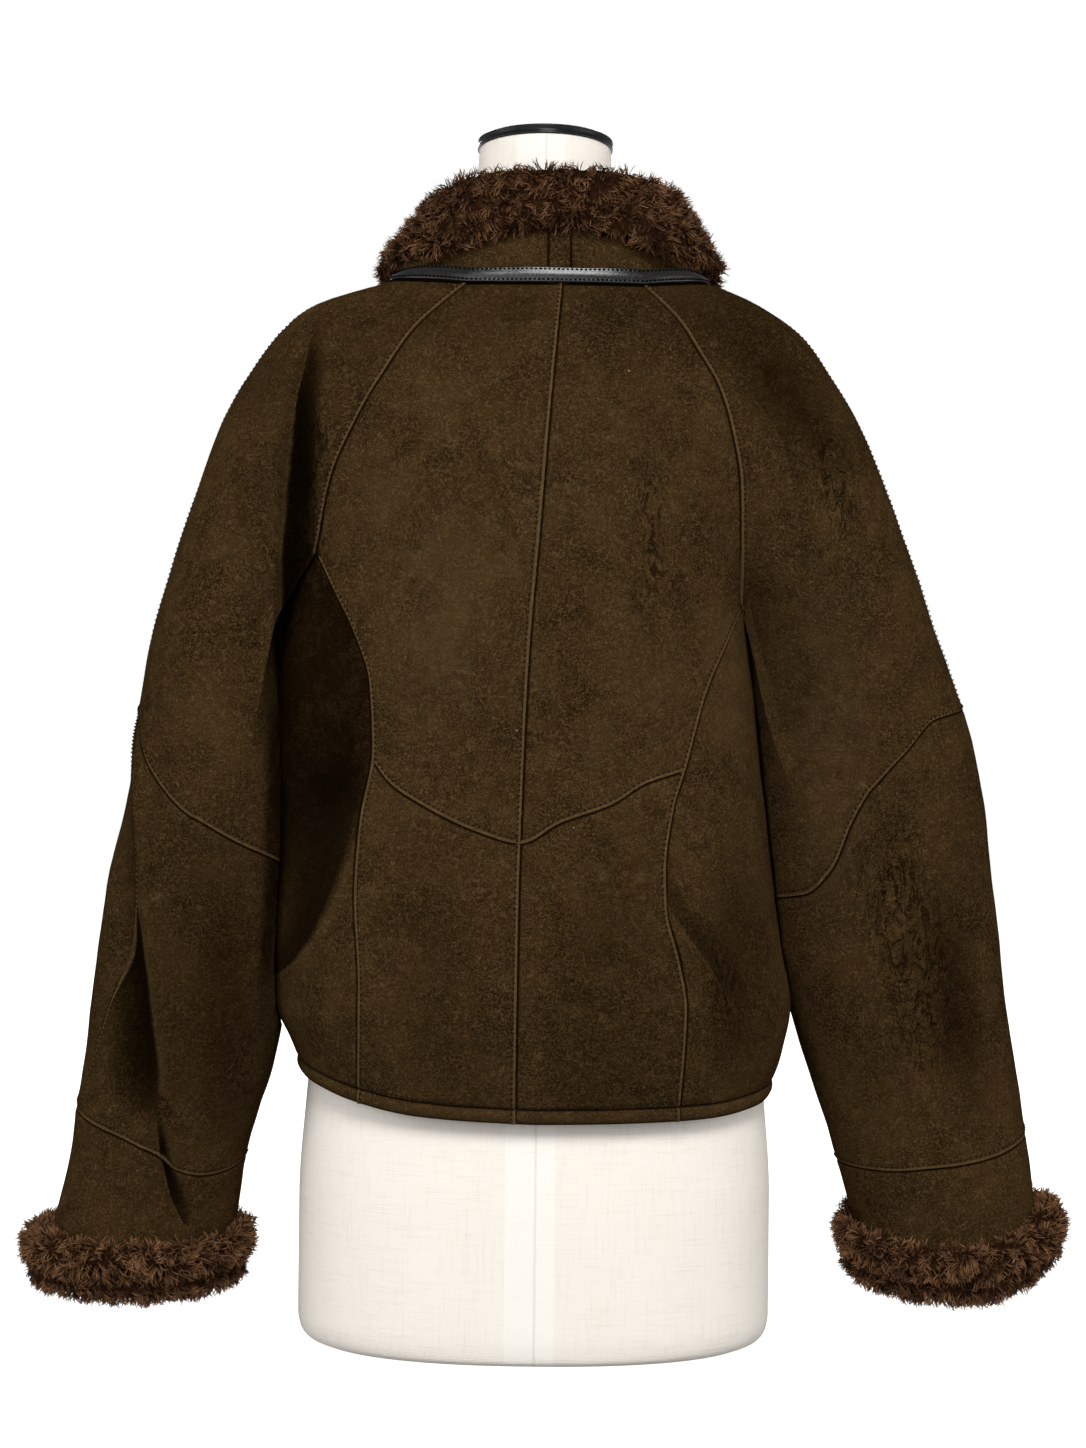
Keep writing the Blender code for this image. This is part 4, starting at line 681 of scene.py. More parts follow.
# Painted shade (over 0), partly the nap's own darker patches, and painted light (under 0), by the same kind
# of lines.
PAINTED_SHADE_AND_LIGHT = (
    # the left forearm and its turned-away side
    Crease(1, (232, 371, 37, 0), (228, 305, 40, 0.4), (230, 224, 40, 0.5), (236, 172, 37, 0.3),
           (250, 147, 29, 0)),
    Crease(1, (318, 400, 14, 0), (312, 330, 18, 0.3), (306, 270, 24, 0.5), (306, 200, 24, 0.5),
           (300, 170, 20, 0)),
    Crease(1, (190, 590, 9, 1), (192, 547, 9, 1.4), (196, 480, 10, 1.4), (198, 415, 10, 1.2),
           (199, 342, 10, 1.2), (203, 290, 10, 0.8), (206, 225, 8, 0)),
    # the valley down to the left armhole
    Crease(1, (172, 772, 8, 0.3), (172, 735, 12, 0.6), (174, 695, 15, 0.8), (177, 640, 18, 0.9),
           (178, 592, 20, 1), (178, 545, 20, 1)),
    Crease(1, (196, 745, 30, 0.1), (212, 716, 34, 0.35), (204, 690, 30, 0.1)),
    Crease(1, (206, 687, 22, 0), (214, 650, 26, 0.35), (221, 606, 22, 0.1)),
    # the right side, shoulder and the dip below it
    Crease(1, (-140, 400, 30, 0), (-148, 330, 46, 0.25), (-150, 280, 46, 0.3), (-146, 220, 36, 0.25)),
    Crease(1, (-138, 570, 24, 0), (-140, 530, 34, -0.4), (-144, 470, 34, -0.3), (-146, 430, 30, 0)),
    Crease(1, (-137, 764, 29, 0.1), (-175, 717, 41, 0.55), (-212, 676, 32, 0.3), (-227, 643, 22, 0)),
    Crease(1, (-42, 768, 51, 0.3), (-72, 709, 37, 0.15), (-80, 650, 29, 0)),
    Crease(1, (17, 790, 50, 0.3), (76, 778, 50, 0.3), (140, 762, 40, 0.35), (190, 730, 34, 0.2)),
    Crease(1, (-60, 796, 50, 0.35), (-140, 780, 56, 0.65), (-196, 730, 48, 0.55), (-226, 680, 40, 0.3)),
    Crease(1, (262, 430, 60, 0), (250, 350, 66, 0.25), (262, 240, 66, 0.35), (290, 140, 60, 0.15)),
    # the lower back
    Crease(1, (-60, 386, 44, 0.1), (-54, 305, 74, 0.33), (-48, 217, 74, 0.3)),
    Crease(1, (87, 378, 44, 0.05), (78, 305, 59, 0.3), (63, 217, 59, 0.25)),
    Crease(1, (-145, 378, 26, 0.15), (-146, 320, 34, 0.35), (-143, 246, 34, 0.3)),
    # the right sleeve's outer side and hem
    Crease(1, (-329, 415, 22, 0.15), (-322, 305, 32, 0.45), (-331, 209, 32, 0.4), (-342, 158, 22, 0.1)),
    Crease(1, (-230, 378, 44, 0), (-252, 305, 51, 0.25), (-261, 224, 51, 0.25), (-269, 165, 37, 0)),
    # painted light: paler places
    Crease(1, (82, 636, 59, 0), (67, 577, 66, -0.3), (73, 503, 59, -0.3), (58, 445, 44, 0)),
    Crease(1, (-73, 562, 44, 0), (-81, 503, 44, -0.15), (-75, 445, 37, 0)),
    Crease(1, (-213, 592, 40, -0.1), (-221, 503, 50, -0.4), (-222, 415, 50, -0.4), (-238, 340, 44, -0.3),
           (-262, 260, 40, -0.25), (-276, 190, 30, 0)),
    Crease(1, (235, 547, 29, 0), (242, 489, 32, -0.15), (249, 422, 26, 0)),
    # in front
    Crease(-1, (172, 590, 14, 0.8), (172, 500, 34, 0.9), (170, 420, 36, 0.7), (182, 350, 30, 0.2)),
    Crease(-1, (-150, 560, 14, 0.8), (-150, 480, 30, 0.8), (-150, 400, 30, 0.5), (-160, 330, 26, 0.1)),
    Crease(-1, (60, 740, 50, 0), (70, 640, 60, -0.2), (80, 540, 50, 0)),
    Crease(-1, (-60, 730, 50, 0), (-70, 640, 60, -0.2), (-76, 540, 50, 0)),
    Crease(-1, (70, 330, 60, 0.1), (80, 240, 70, 0.3)),
    Crease(-1, (-80, 330, 60, 0.1), (-90, 240, 70, 0.3)),
    Crease(-1, (250, 420, 40, 0), (262, 330, 44, 0.35), (272, 220, 40, 0.3)),
    Crease(-1, (-260, 420, 40, 0), (-280, 330, 44, 0.35), (-300, 220, 40, 0.3)),
)
# Folds at the back that hang over a hollow, with painted shadow on the hollow's side and a thin painted
# highlight along the edge: the panels, and the edge by across, height, the hollow's breadth (under 0 to the
# wearer's right) and how strong it is, in its painted shadow and its relief.
FOLD_EDGES = (
    # the hollow under the left arm, beside the fold that runs from the side seam to the sleeve
    (("side_left",), (
        (118, 500, 60, 0), (121, 452, 80, 0.4), (127, 418, 90, 0.8), (137, 372, 90, 0.9),
        (149, 339, 80, 0.95), (164, 310, 60, 0.95), (184, 289, 26, 0.9), (196, 280, 20, 0.8),
    )),
    # the left sleeve's long fold and its run through the cuff band
    (("sleeve_back_lower_left", "sleeve_back_upper_left"), (
        (297, 521, 12, 0), (302, 470, 18, 0.4), (307, 429, 22, 0.5), (305, 378, 24, 0.55),
        (300, 330, 36, 0.9), (290, 270, 50, 1), (283, 207, 56, 0.9), (284, 178, 44, 0.6), (287, 160, 20, 0),
    )),
    (("sleeve_back_lower_left", "cuff_band_left"), (
        (286, 200, -8, 0), (286, 165, -8, 0.6), (285, 148, -9, 1), (281, 128, -10, 1),
        (276, 108, -11, 0.9), (267, 88, -12, 0.7), (257, 82, -8, 0),
    )),
    # the sleeve's edge over the valley that runs down to the left armhole
    (("sleeve_back_upper_left",), (
        (177, 768, -8, 0), (179, 739, -14, 0.7), (183, 716, -20, 1), (187, 650, -26, 1),
        (191, 590, -34, 1), (192.5, 540, -40, 1), (194, 495, -30, 1), (195.5, 440, -14, 0.6),
    )),
    # the swag from the right side-back seam
    (("side_right",), (
        (-92, 372, -12, 0), (-97, 340, -16, 0.5), (-112, 316, -22, 0.55), (-130, 290, -26, 0.45),
        (-150, 262, -22, 0),
    )),
    # the right upper arm's thin raised edge
    (("sleeve_back_upper_right",), (
        (-150, 728, -10, 0), (-166, 706, -14, 0.25), (-180, 682, -16, 0.35), (-192, 625, -16, 0.3),
        (-197, 592, -12, 0),
    )),
)
# Where the suede crinkles: fine creases in its relief, with painted shade in them.
CRINKLES = (
    Crease(1, (-240, 400, 30, 0.2), (-268, 352, 44, 1), (-288, 306, 46, 1), (-296, 258, 40, 0.9),
           (-300, 200, 36, 0.2)),
    Crease(1, (-196, 716, 20, 0), (-216, 672, 26, 0.8), (-222, 640, 26, 0.7), (-228, 580, 22, 0)),
    Crease(1, (-76, 690, 16, 0), (-80, 640, 18, 0.7), (-84, 580, 18, 0.6), (-80, 530, 14, 0)),
    Crease(1, (166, 740, 10, 0), (168, 680, 14, 0.9), (168, 620, 14, 1), (168, 585, 12, 0.6)),
    Crease(1, (-122, 330, 10, 0), (-136, 285, 22, 0.8), (-146, 250, 18, 0.4)),
    Crease(1, (232, 150, 20, 0), (220, 210, 26, 0.5), (222, 280, 20, 0)),
    Crease(-1, (250, 460, 20, 0.5), (248, 400, 26, 0.8), (246, 350, 20, 0)),
    Crease(-1, (-240, 460, 20, 0.5), (-250, 400, 26, 0.8), (-256, 350, 20, 0)),
)
OUTSIDE_TELLS, OUTSIDE_ENDS = 0.3, -0.8  # how much, and how far out, a fold edge tells outside its hollow
FACE_EDGE = 0.3  # how far round a sleeve or the body a crease fades out, by the way its surface faces
LUMPS = ((55.0, 1.1), (21.0, 0.35))  # the skin's own unevenness: breadth and height
# Where sleeve and body bulge towards each other: a place, its reach and height.
SWELLS = ((190, 0, 492, 85, 1.3),)


def creased(points, normals, creases):
    """How far the creases and the skin's unevenness raise each point."""
    rise = np.zeros(len(points))
    for crease in creases:
        faces = smooth((crease.face * normals[:, 1] + FACE_EDGE / 2) / FACE_EDGE)
        rise += crease.rise(points[:, 0], points[:, 2]) * faces
    for *place, reach, height in SWELLS:
        rise += height * smooth(1.5 * (1 - np.linalg.norm(points - place, axis=1) / reach))
    for breadth, height in LUMPS:
        rise += height * np.array([noise.noise(Vector(p / breadth)) for p in points])
    return rise


def shaded(points, normals, lines=None):
    """How much painted shade (over 0) or painted light (under 0) each point takes, or how strongly these
    other lines tell there.
    """
    shade = np.zeros(len(points))
    for line in PAINTED_SHADE_AND_LIGHT if lines is None else lines:
        faces = smooth((line.face * normals[:, 1] + FACE_EDGE) / (2 * FACE_EDGE))
        shade += line.rise(points[:, 0], points[:, 2]) * faces
    return np.clip(shade, -1, 1)


def past_folds(node, points, normals):
    """How far past a fold edge each point lies, as a share of its shaded breadth, and how strong its painted
    shadow is there.
    """
    count = len(points)
    x, z = points[:, 0], points[:, 2]
    past, fold_shading, most = np.full(count, -1.0), np.zeros(count), np.zeros(count)
    faces = smooth((normals[:, 1] + FACE_EDGE) / (2 * FACE_EDGE))
    for panels, rows in FOLD_EDGES:
        if node not in panels:
            continue
        nearest, share, depth = np.full(count, np.inf), np.full(count, -1.0), np.zeros(count)
        rows = np.array(rows, float)
        for a, b in zip(rows[:-1], rows[1:]):
            t, away = nearest_on(a, b, x, z)
            run = b[:2] - a[:2]
            side = np.sign(((z - a[1]) * run[0] - (x - a[0]) * run[1]) * a[2])
            near = away < nearest
            share = np.where(near, side * away / np.abs(between(a[2], b[2], t)), share)
            depth = np.where(near, between(a[3], b[3], t) * faces, depth)
            nearest = np.minimum(away, nearest)
        inside = (share > 0) & (share < 1)
        tells = depth * np.where(inside, 1, OUTSIDE_TELLS) * (share > OUTSIDE_ENDS)
        past, fold_shading = np.where(tells > most, share, past), np.where(tells > most, depth, fold_shading)
        most = np.maximum(tells, most)
    return past, fold_shading


# ---------------------------------------------------------------- grids
def fractions(length, head=RIM_STEPS, tail=RIM_STEPS):
    """Places along an edge of this length, as shares of it, closer together near its ends."""
    low, high = head[-1], length - tail[-1]
    middle = np.linspace(low, high, max(round((high - low) / GRID), 1) + 1)
    return np.concatenate([head[:-1], middle, length - np.array(tail[:-1], float)[::-1]]) / length


def coons(top, bottom, first, last, u, v):
    """A grid between four edges, each given at the places u across or v down."""
    u, v = u[None, :, None], v[:, None, None]
    ruled = (1 - v) * top[None] + v * bottom[None] + (1 - u) * first[:, None] + u * last[:, None]
    ends = (1 - v) * ((1 - u) * top[0] + u * top[-1]) + v * ((1 - u) * bottom[0] + u * bottom[-1])
    return ruled - ends


def normals_of(surface, u, v, step_u, step_v, middle):
    """Unit normals of a surface, pointing away from the middle line given for each point."""
    along = surface(u + step_u, v) - surface(u - step_u, v)
    down = surface(u, v + step_v) - surface(u, v - step_v)
    normal = unit(np.cross(along, down))
    return normal if np.sum(normal * (surface(u, v) - middle)) > 0 else -normal


def quads_of(rows, columns, around=False):
    """The quads of a grid of points, as corner indexes; around joins its last column to its first."""
    r, c = np.mgrid[0 : rows - 1, 0 : columns if around else columns - 1]
    n = (c + 1) % columns
    corners = (r * columns + c, r * columns + n, (r + 1) * columns + n, (r + 1) * columns + c)
    return np.stack(corners, axis=-1).reshape(-1, 4)


def rim_of(quads):
    """The edges that only one quad has, each with that quad."""
    edges = np.concatenate([quads[:, [k, (k + 1) % 4]] for k in range(4)])
    owner = np.tile(np.arange(len(quads)), 4)
    _, first, count = np.unique(np.sort(edges, axis=1), axis=0, return_index=True, return_counts=True)
    single = first[count == 1]
    return edges[single], quads[owner[single]]


def drawn_in(points, normals, edges, quads):
    """The points, with those of the rim moved in from the seam by half its gap."""
    a, b = edges.T
    square = unit(np.cross(points[b] - points[a], normals[a] + normals[b]))
    inward = np.sum(square * (points[quads].mean(axis=1) - points[a]), axis=-1, keepdims=True)
    square = np.where(inward < 0, -square, square)
    total, count = np.zeros_like(points), np.zeros((len(points), 1))
    for ends in (a, b):
        np.add.at(total, ends, square)
        np.add.at(count, ends, 1)
    return points + SEAM_GAP / 2 * total / np.maximum(count, 1)


def reach_from(points, starts, ends):
    """How far each point is from the nearest of the lines between these starts and ends."""
    marks = np.concatenate([starts + (ends - starts) * t for t in (0.0, 0.2, 0.4, 0.6, 0.8)])
    reach = np.empty(len(points))
    for start in range(0, len(points), 2000):
        block = points[start : start + 2000]
        square = (block**2).sum(1)[:, None] + (marks**2).sum(1)[None] - 2 * block @ marks.T
        reach[start : start + 2000] = np.sqrt(np.maximum(square.min(axis=1), 0))
    return reach


# ---------------------------------------------------------------- pieces
def linked(name, data):
    """A new object in the scene."""
    item = bpy.data.objects.new(name, data)
    bpy.context.scene.collection.objects.link(item)
    return item


def with_modifiers(item):
    """A mesh of the object as its modifiers leave it."""
    bpy.context.view_layer.update()
    done = item.evaluated_get(bpy.context.evaluated_depsgraph_get())
    return bpy.data.meshes.new_from_object(done)


def new_mesh(name, vertices, faces, finishes=(), **values):
    """A smooth mesh with its faces turned out and float values on its points."""
    mesh = bpy.data.meshes.new(name)
    mesh.from_pydata(vertices, [], faces)
    for key, value in values.items():
        set_values(mesh, key, value)
    for finish in finishes:
        mesh.materials.append(finish)
    work = bmesh.new()
    work.from_mesh(mesh)
    bmesh.ops.recalc_face_normals(work, faces=work.faces)
    work.to_mesh(mesh)
    work.free()
    mesh.shade_smooth()
    return mesh


def set_values(mesh, key, values, kind="FLOAT", part="value"):
    """A value, or a vector, on each of the mesh's points."""
    data = mesh.attributes.new(key, kind, "POINT").data
    data.foreach_set(part, np.ascontiguousarray(values, np.float32).reshape(-1))


def new_object(name, vertices, faces, finishes, indexes=None, sharp_over=50, **values):
    """A closed piece from points in millimetres."""
    points = (np.asarray(vertices).reshape(-1, 3) * MM).tolist()
    faces = [list(map(int, face)) for face in faces]
    mesh = new_mesh(name, points, faces, finishes, **values)
    if indexes is not None:
        mesh.polygons.foreach_set("material_index", np.asarray(indexes, np.int32))
    mesh.set_sharp_from_angle(angle=math.radians(sharp_over))
    return linked(name, mesh)


def placed(item, slot, *nodes):
    """The piece rides with the part and stands for its solids, which it hides; slot is not used."""
    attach(item, BODY_NAME)
    if nodes:
        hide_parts(*nodes)
    return item


def square_to(points, quads):
    """A vector square to each quad, twice as long as its area."""
    corner = points[quads]
    return np.cross(corner[:, 2] - corner[:, 0], corner[:, 3] - corner[:, 1])


def cut_of(points, quads, grid_shape, around):
    """The flat width, length and area of a panel, in metres, from its fine grid."""
    grid = points.reshape(*grid_shape, 3)
    if around:
        grid = np.concatenate([grid, grid[:, :1]], axis=1)
    across = np.linalg.norm(np.diff(grid, axis=1), axis=-1).sum(axis=1)
    down = np.linalg.norm(np.diff(grid, axis=0), axis=-1).sum(axis=0)
    area = np.linalg.norm(square_to(points, quads), axis=-1).sum() / 2
    return across.max() * MM, down.max() * MM, area * MM * MM


def wall_of(points, normals, quads):
    """The wall's thickness at each point, which thins where the panel turns sharply on itself."""
    square = unit(square_to(points, quads))
    agree = np.sum(square[:, None] * normals[quads], axis=-1)
    agree = (agree * np.sign(agree.sum())).min(axis=1)
    share = np.clip((agree - THIN_FROM) / (1 - THIN_FROM) * 2, LEAST_WALL, 1)
    least = np.ones(len(points))
    for _ in range(THIN_ROUNDS):
        for k in range(4):
            np.minimum.at(least, quads[:, k], share)
        share = least[quads].min(axis=1)
    return WALL * least


def hem_press(above):
    """The line pressed and stitched over the turned-up hem, by height above its edge."""
    press = -HEM_DEEP * smooth(1 - np.abs(above - HEM_TURN) / HEM_WIDE)
    return press + HEM_FULL * smooth(1 - np.abs(above - HEM_TURN / 2) / (HEM_TURN / 2))


def shell(node, points, normals, creases, quads=None, around=False,
          above_hem=None, lips=()):
    """A panel's fine shell over its solid, its edges rolled into the seams or raised as lips.

    lips are the edges that lie over the next panel, as places of the grid's rows and columns.
    Returns the creased face as a grid, with its normals.
    """
    shape = points.shape[:2]
    quads = quads_of(*shape, around) if quads is None else quads
    flat_points, flat_normals = points.reshape(-1, 3), normals.reshape(-1, 3)
    width, length, area = cut_of(flat_points, quads, shape, around)
    used, index = np.unique(quads, return_inverse=True)
    quads = index.reshape(-1, 4)
    skin, way = flat_points[used], flat_normals[used]
    edges, beside = rim_of(quads)
    skin = drawn_in(skin, way, edges, beside)
    rim = reach_from(skin, skin[edges[:, 0]], skin[edges[:, 1]])
    lip = np.full(len(skin), FAR)
    for place in lips:
        lip = np.minimum(lip, reach_from(skin, points[place][:-1], points[place][1:]))
    hem = np.full(len(skin), FAR) if above_hem is None else above_hem.reshape(-1)[used]
    over = 1 - smooth((lip - LIP_WIDE) / LIP_EASE)
    rise = creased(skin, way, creases) * smooth(BY_SEAM + rim / FROM_SEAM)
    rise += LIP_HIGH * over - ROLL_DEEP * (1 - smooth(rim / ROLL_WIDE)) * (1 - 0.8 * over)
    rise += PUFF_HIGH * smooth(1 - np.abs(rim - PUFF_AT) / PUFF_WIDE)
    rise += hem_press(hem)
    outer = skin + way * rise[:, None]
    wall = wall_of(outer, way, quads)
    inner = outer - way * wall[:, None]
    count = len(skin)
    a, b = edges.T
    sides = joined(b, a, count + a, count + b)
    faces = np.concatenate([quads, count + quads[:, ::-1], sides])
    woolly = (wall[quads].min(axis=1) > WALL / 2).astype(int)
    indexes = np.concatenate([np.zeros(len(quads), int), woolly, np.zeros(len(edges), int)])
    # painted shade and light for the finish, from the lines above and the panel's own
    own_shade = [PANEL_SHADES[node]] if node in PANEL_SHADES else []
    shade = shaded(skin, way) + shaded(skin, way, own_shade)
    past, fold_shading = past_folds(node, skin, way)
    values = {
        "rim": rim + FAR if node == "collar_tab" else rim,
        "hem": hem,
        "lip": lip,
        "shade": np.clip(shade, -1, 1),
        "past": past,
        "fold_shading": fold_shading,
        "crinkle": np.clip(shaded(skin, way, CRINKLES), 0, 1),
    }
    both = {key: np.tile(value, 2) for key, value in values.items()}
    solid = np.concatenate([outer, inner])
    item = new_object(f"{node}_suede", solid, faces, [SUEDE, WOOL], indexes, **both)
    placed(item, "suede", node)
    full = np.zeros_like(flat_points)
    full[used] = outer
    return full.reshape(*shape, 3), normals


# ---------------------------------------------------------------- body panels
FIRST_COLUMN, LAST_COLUMN, LAST_ROW = (slice(None), 0), (slice(None), -1), (-1, slice(None))


def torso_shell(node, grid, face, lap=None, hem=False, lips=()):
    x, z = grid[..., 0], grid[..., 1]
    middle = joined(x, 0 * x, z - BELOW_NORMALS)
    normals = normals_of(lambda a, b: torso_point(a, b, face), x, z, 0.5, 0.5, middle)
    points = torso_point(x, z, face)
    if lap is not None:
        points = points + normals * lap(x)[..., None]
    above = z - hem_on_panel(x, face) if hem else None
    return shell(node, points, normals, BODY_CREASES, above_hem=above, lips=lips)


def hem_end(arm, back):
    """Height of the hem at the side-back or side-front seam."""
    table, hem = arm.back_side if back else arm.front_side, 200.0
    for _ in range(HEM_ROUNDS):
        hem = float(hem_height(round_of(table.read("out", hem), hem, arm.hand, back), arm.hand))
    return hem


def hem_on_panel(x, face):
    """The hem's height at this distance across the back or front."""
    z = np.full(np.shape(x), 190.0)
    for _ in range(HEM_ROUNDS):
        left = hem_height(round_of(x, z, 1, face > 0), 1)
        right = hem_height(round_of(x, z, -1, face > 0), -1)
        z = np.where(x >= 0, left, right)
    return z


def outer_line(arm, back, z):
    """A back or front panel's outer edge: down the raglan seam, then the side seam."""
    raglan = arm.back_raglan if back else arm.front_raglan
    side = arm.back_side if back else arm.front_side
    out = np.where(z > arm.split, raglan.read("out", z), side.read("out", z))
    return joined(arm.hand * out, z)


def centre_line(top, bottom, v):
    """The centre back seam between two heights."""
    z = between(top, bottom, v)
    return joined(CENTRE_BACK.read("out", z), z)


def back_panels(arm):
    middle_x = YOKE.at[np.argmin(YOKE.columns["height"])]
    yoke_z, hem_z = float(YOKE.read("height", middle_x)), float(hem_on_panel(middle_x, 1))
    centre_lips = [FIRST_COLUMN] if arm.hand > 0 else []
    u = fractions(PANEL_ACROSS)

    v = fractions(NECK_BACK - arm.yoke_end)
    centre = centre_line(NECK_BACK, yoke_z, v)
    outer = outer_line(arm, True, between(NECK_BACK, arm.yoke_end, v))
    top = between(centre[0], outer[0], u[:, None])
    yoke_x = between(centre[-1, 0], outer[-1, 0], u)
    yoke = joined(yoke_x, YOKE.read("height", yoke_x))
    lips = [LAST_ROW, (outer[:, 1] < arm.split, -1)] + centre_lips
    grid = coons(top, yoke, centre, outer, u, v)
    upper = torso_shell(f"back_upper_{arm.side}", grid, 1, lips=lips)

    v = fractions(yoke_z - hem_z, tail=HEM_STEPS)
    centre = centre_line(yoke_z, hem_z, v)
    outer = outer_line(arm, True, between(arm.yoke_end, hem_end(arm, True), v))
    hem_x = between(centre[-1, 0], outer[-1, 0], u)
    hem = joined(hem_x, hem_on_panel(hem_x, 1))
    grid = coons(yoke, hem, centre, outer, u, v)
    lower = torso_shell(f"back_lower_{arm.side}", grid, 1, hem=True, lips=[LAST_COLUMN] + centre_lips)
    return upper, lower


def side_panel(arm):
    u = fractions(PANEL_ACROSS)
    share = 1 - np.abs(1 - 2 * u)
    top = joined(*arm.armhole(share, np.where(u < 0.5, 1.0, -1.0)))
    v = fractions(arm.split - hem_end(arm, True), tail=HEM_STEPS)
    edges = []
    for back in (True, False):
        z = between(arm.split, hem_end(arm, back), v)
        out = (arm.back_side if back else arm.front_side).read("out", z)
        edges.append(joined(round_of(out, z, arm.hand, back), z))
    hem_angle = between(edges[0][-1, 0], edges[1][-1, 0], u)
    hem = joined(hem_angle, hem_height(hem_angle, arm.hand))
    grid = coons(top, hem, *edges, u, v)
    angle, z = grid[..., 0], grid[..., 1]
    middle = joined(0 * z, 0 * z, z)
    normals = normals_of(lambda a, b: side_point(a, b, arm.hand), angle, z, 0.01, 0.5, middle)
    points = side_point(angle, z, arm.hand)
    above = z - hem_height(angle, arm.hand)
    return shell(f"side_{arm.side}", points, normals, BODY_CREASES, above_hem=above)


def lap_rise(x):
    """The over front climbs on to the under front towards its edge."""
    return LAP_RISE * smooth((x - LAP_FROM) / LAP_WIDTH)


def front_panel(arm):
    edge = -arm.hand * LAP_PAST
    u = fractions(PANEL_ACROSS)
    hem_z, last_z = float(hem_on_panel(edge, -1)), hem_end(arm, False)
    v = fractions(NECK_FRONT - hem_z, tail=HEM_STEPS)
    inner = joined(np.full(len(v), float(edge)), between(NECK_FRONT, hem_z, v))
    outer = outer_line(arm, False, between(RAGLAN_FRONT, last_z, v))
    top_x, hem_x = between(inner[0, 0], outer[0, 0], u), between(inner[-1, 0], outer[-1, 0], u)
    top_z = np.interp(arm.hand * top_x, (0, abs(outer[0, 0])), (NECK_FRONT, RAGLAN_FRONT))
    top, hem = joined(top_x, top_z), joined(hem_x, hem_on_panel(hem_x, -1))
    grid = coons(top, hem, inner, outer, u, v)
    return torso_shell(f"front_{arm.side}", grid, -1, lap_rise if arm.hand < 0 else None, hem=True)


# ---------------------------------------------------------------- sleeves
SLEEVE_STEP = 0.004  # between the places that give a sleeve's normals


def sleeve_grid(arm, round_share, down):
    """Points and normals of the sleeve's surface at these places."""
    points = arm.point(round_share, down)
    inside = np.minimum(down, 1 - SLEEVE_STEP)
    return points, normals_of(arm.point, round_share, inside, SLEEVE_STEP, SLEEVE_STEP, arm.axis(points))


def side_name(face):
    return "back" if face > 0 else "front"


def upper_sleeve(arm, face):
    """From the collar seam and the armhole to the elbow seam, behind (face 1) or in front (-1)."""
    cap_end = 1 - arm.hole_share
    cap = fractions(CAP_ACROSS) * cap_end
    hole = cap_end + fractions(HOLE_ACROSS) * arm.hole_share
    share = face * np.maximum(np.concatenate([cap, hole[1:]]), 1e-6)
    above, below = fractions(CAP_LONG), fractions(UPPER_LONG)
    elbow = arm.seam_down(arm.elbow, share)
    over = np.repeat(above[:-1, None] - 1, len(share), axis=1)
    down = np.concatenate([over, elbow[None] * below[:, None]])
    points, normals = sleeve_grid(arm, np.repeat(share[None], len(down), axis=0), down)
    quads = quads_of(*down.shape)
    row, column = quads[:, 3] // len(share), quads[:, 0] % len(share)
    past_armhole = (row < len(above)) & (column >= len(cap) - 1)
    lips = [LAST_ROW, (slice(0, len(above)), len(cap) - 1)] + [FIRST_COLUMN] * (face > 0)
    node = f"sleeve_{side_name(face)}_upper_{arm.side}"
    skin = shell(node, points, normals, ARM_CREASES, quads=quads[~past_armhole], lips=lips)
    return skin, len(cap), len(above)


def lower_sleeve(arm, face):
    """From the elbow seam to the cuff band's. Returns its columns' places at the band too."""
    even = fractions(LOWER_ROUND)
    rows = fractions(LOWER_LONG)[:, None]
    down = 0.2 + 0.55 * rows + 0 * even
    for _ in range(SEAM_ROUNDS):
        start = arm.forearm.read("turn", down[:, :1]) / 180
        share = between(start, face, even)
        elbow, cuff = arm.seam_down(arm.elbow, share), arm.seam_down(arm.cuff_seam, share)
        down = between(elbow, cuff, rows)
    points, normals = sleeve_grid(arm, share, down)
    lips = [LAST_ROW] + [FIRST_COLUMN] * (face > 0)
    node = f"sleeve_{side_name(face)}_lower_{arm.side}"
    return shell(node, points, normals, ARM_CREASES, lips=lips), share[-1]


def cuff_band(arm, share):
    top = arm.seam_down(arm.cuff_seam, share)
    rows = fractions(BAND_LONG)[:, None]
    places = np.repeat(share[None], len(rows), axis=0)
    points, normals = sleeve_grid(arm, places, between(top, 1, rows))
    return shell(f"cuff_band_{arm.side}", points, normals, ARM_CREASES, around=True)


# ---------------------------------------------------------------- collar


def neck_line(arm):
    """The collar seam on one side, from near the centre back to the centre front."""
    edge = TAB_TO if arm.hand > 0 else TAB_FROM
    back_x = np.linspace(edge, arm.hand * arm.back_raglan.read("out", NECK_BACK), 17)
    share = np.linspace(1 - arm.hole_share, 0, 15)
    front_x = np.linspace(arm.hand * arm.front_raglan.read("out", RAGLAN_FRONT), 0, 19)
    front_z = np.interp(np.abs(front_x), (0, abs(front_x[0])), (NECK_FRONT, RAGLAN_FRONT))
    back, front = torso_point(back_x, NECK_BACK, 1), torso_point(front_x, front_z, -1)
    over_back = arm.point(share, -1.0)
    over_front = arm.point(-share[::-1] - 1e-6, -1.0)
    return np.concatenate([back, over_back[1:], over_front[1:], front[1:]])


def eased(rows, times):
    """Rows of points with their corners rounded, each end held."""
    rows = rows.copy()
    for _ in range(times):
        rows[1:-1] = (rows[:-2] + 2 * rows[1:-1] + rows[2:]) / 4
    return rows


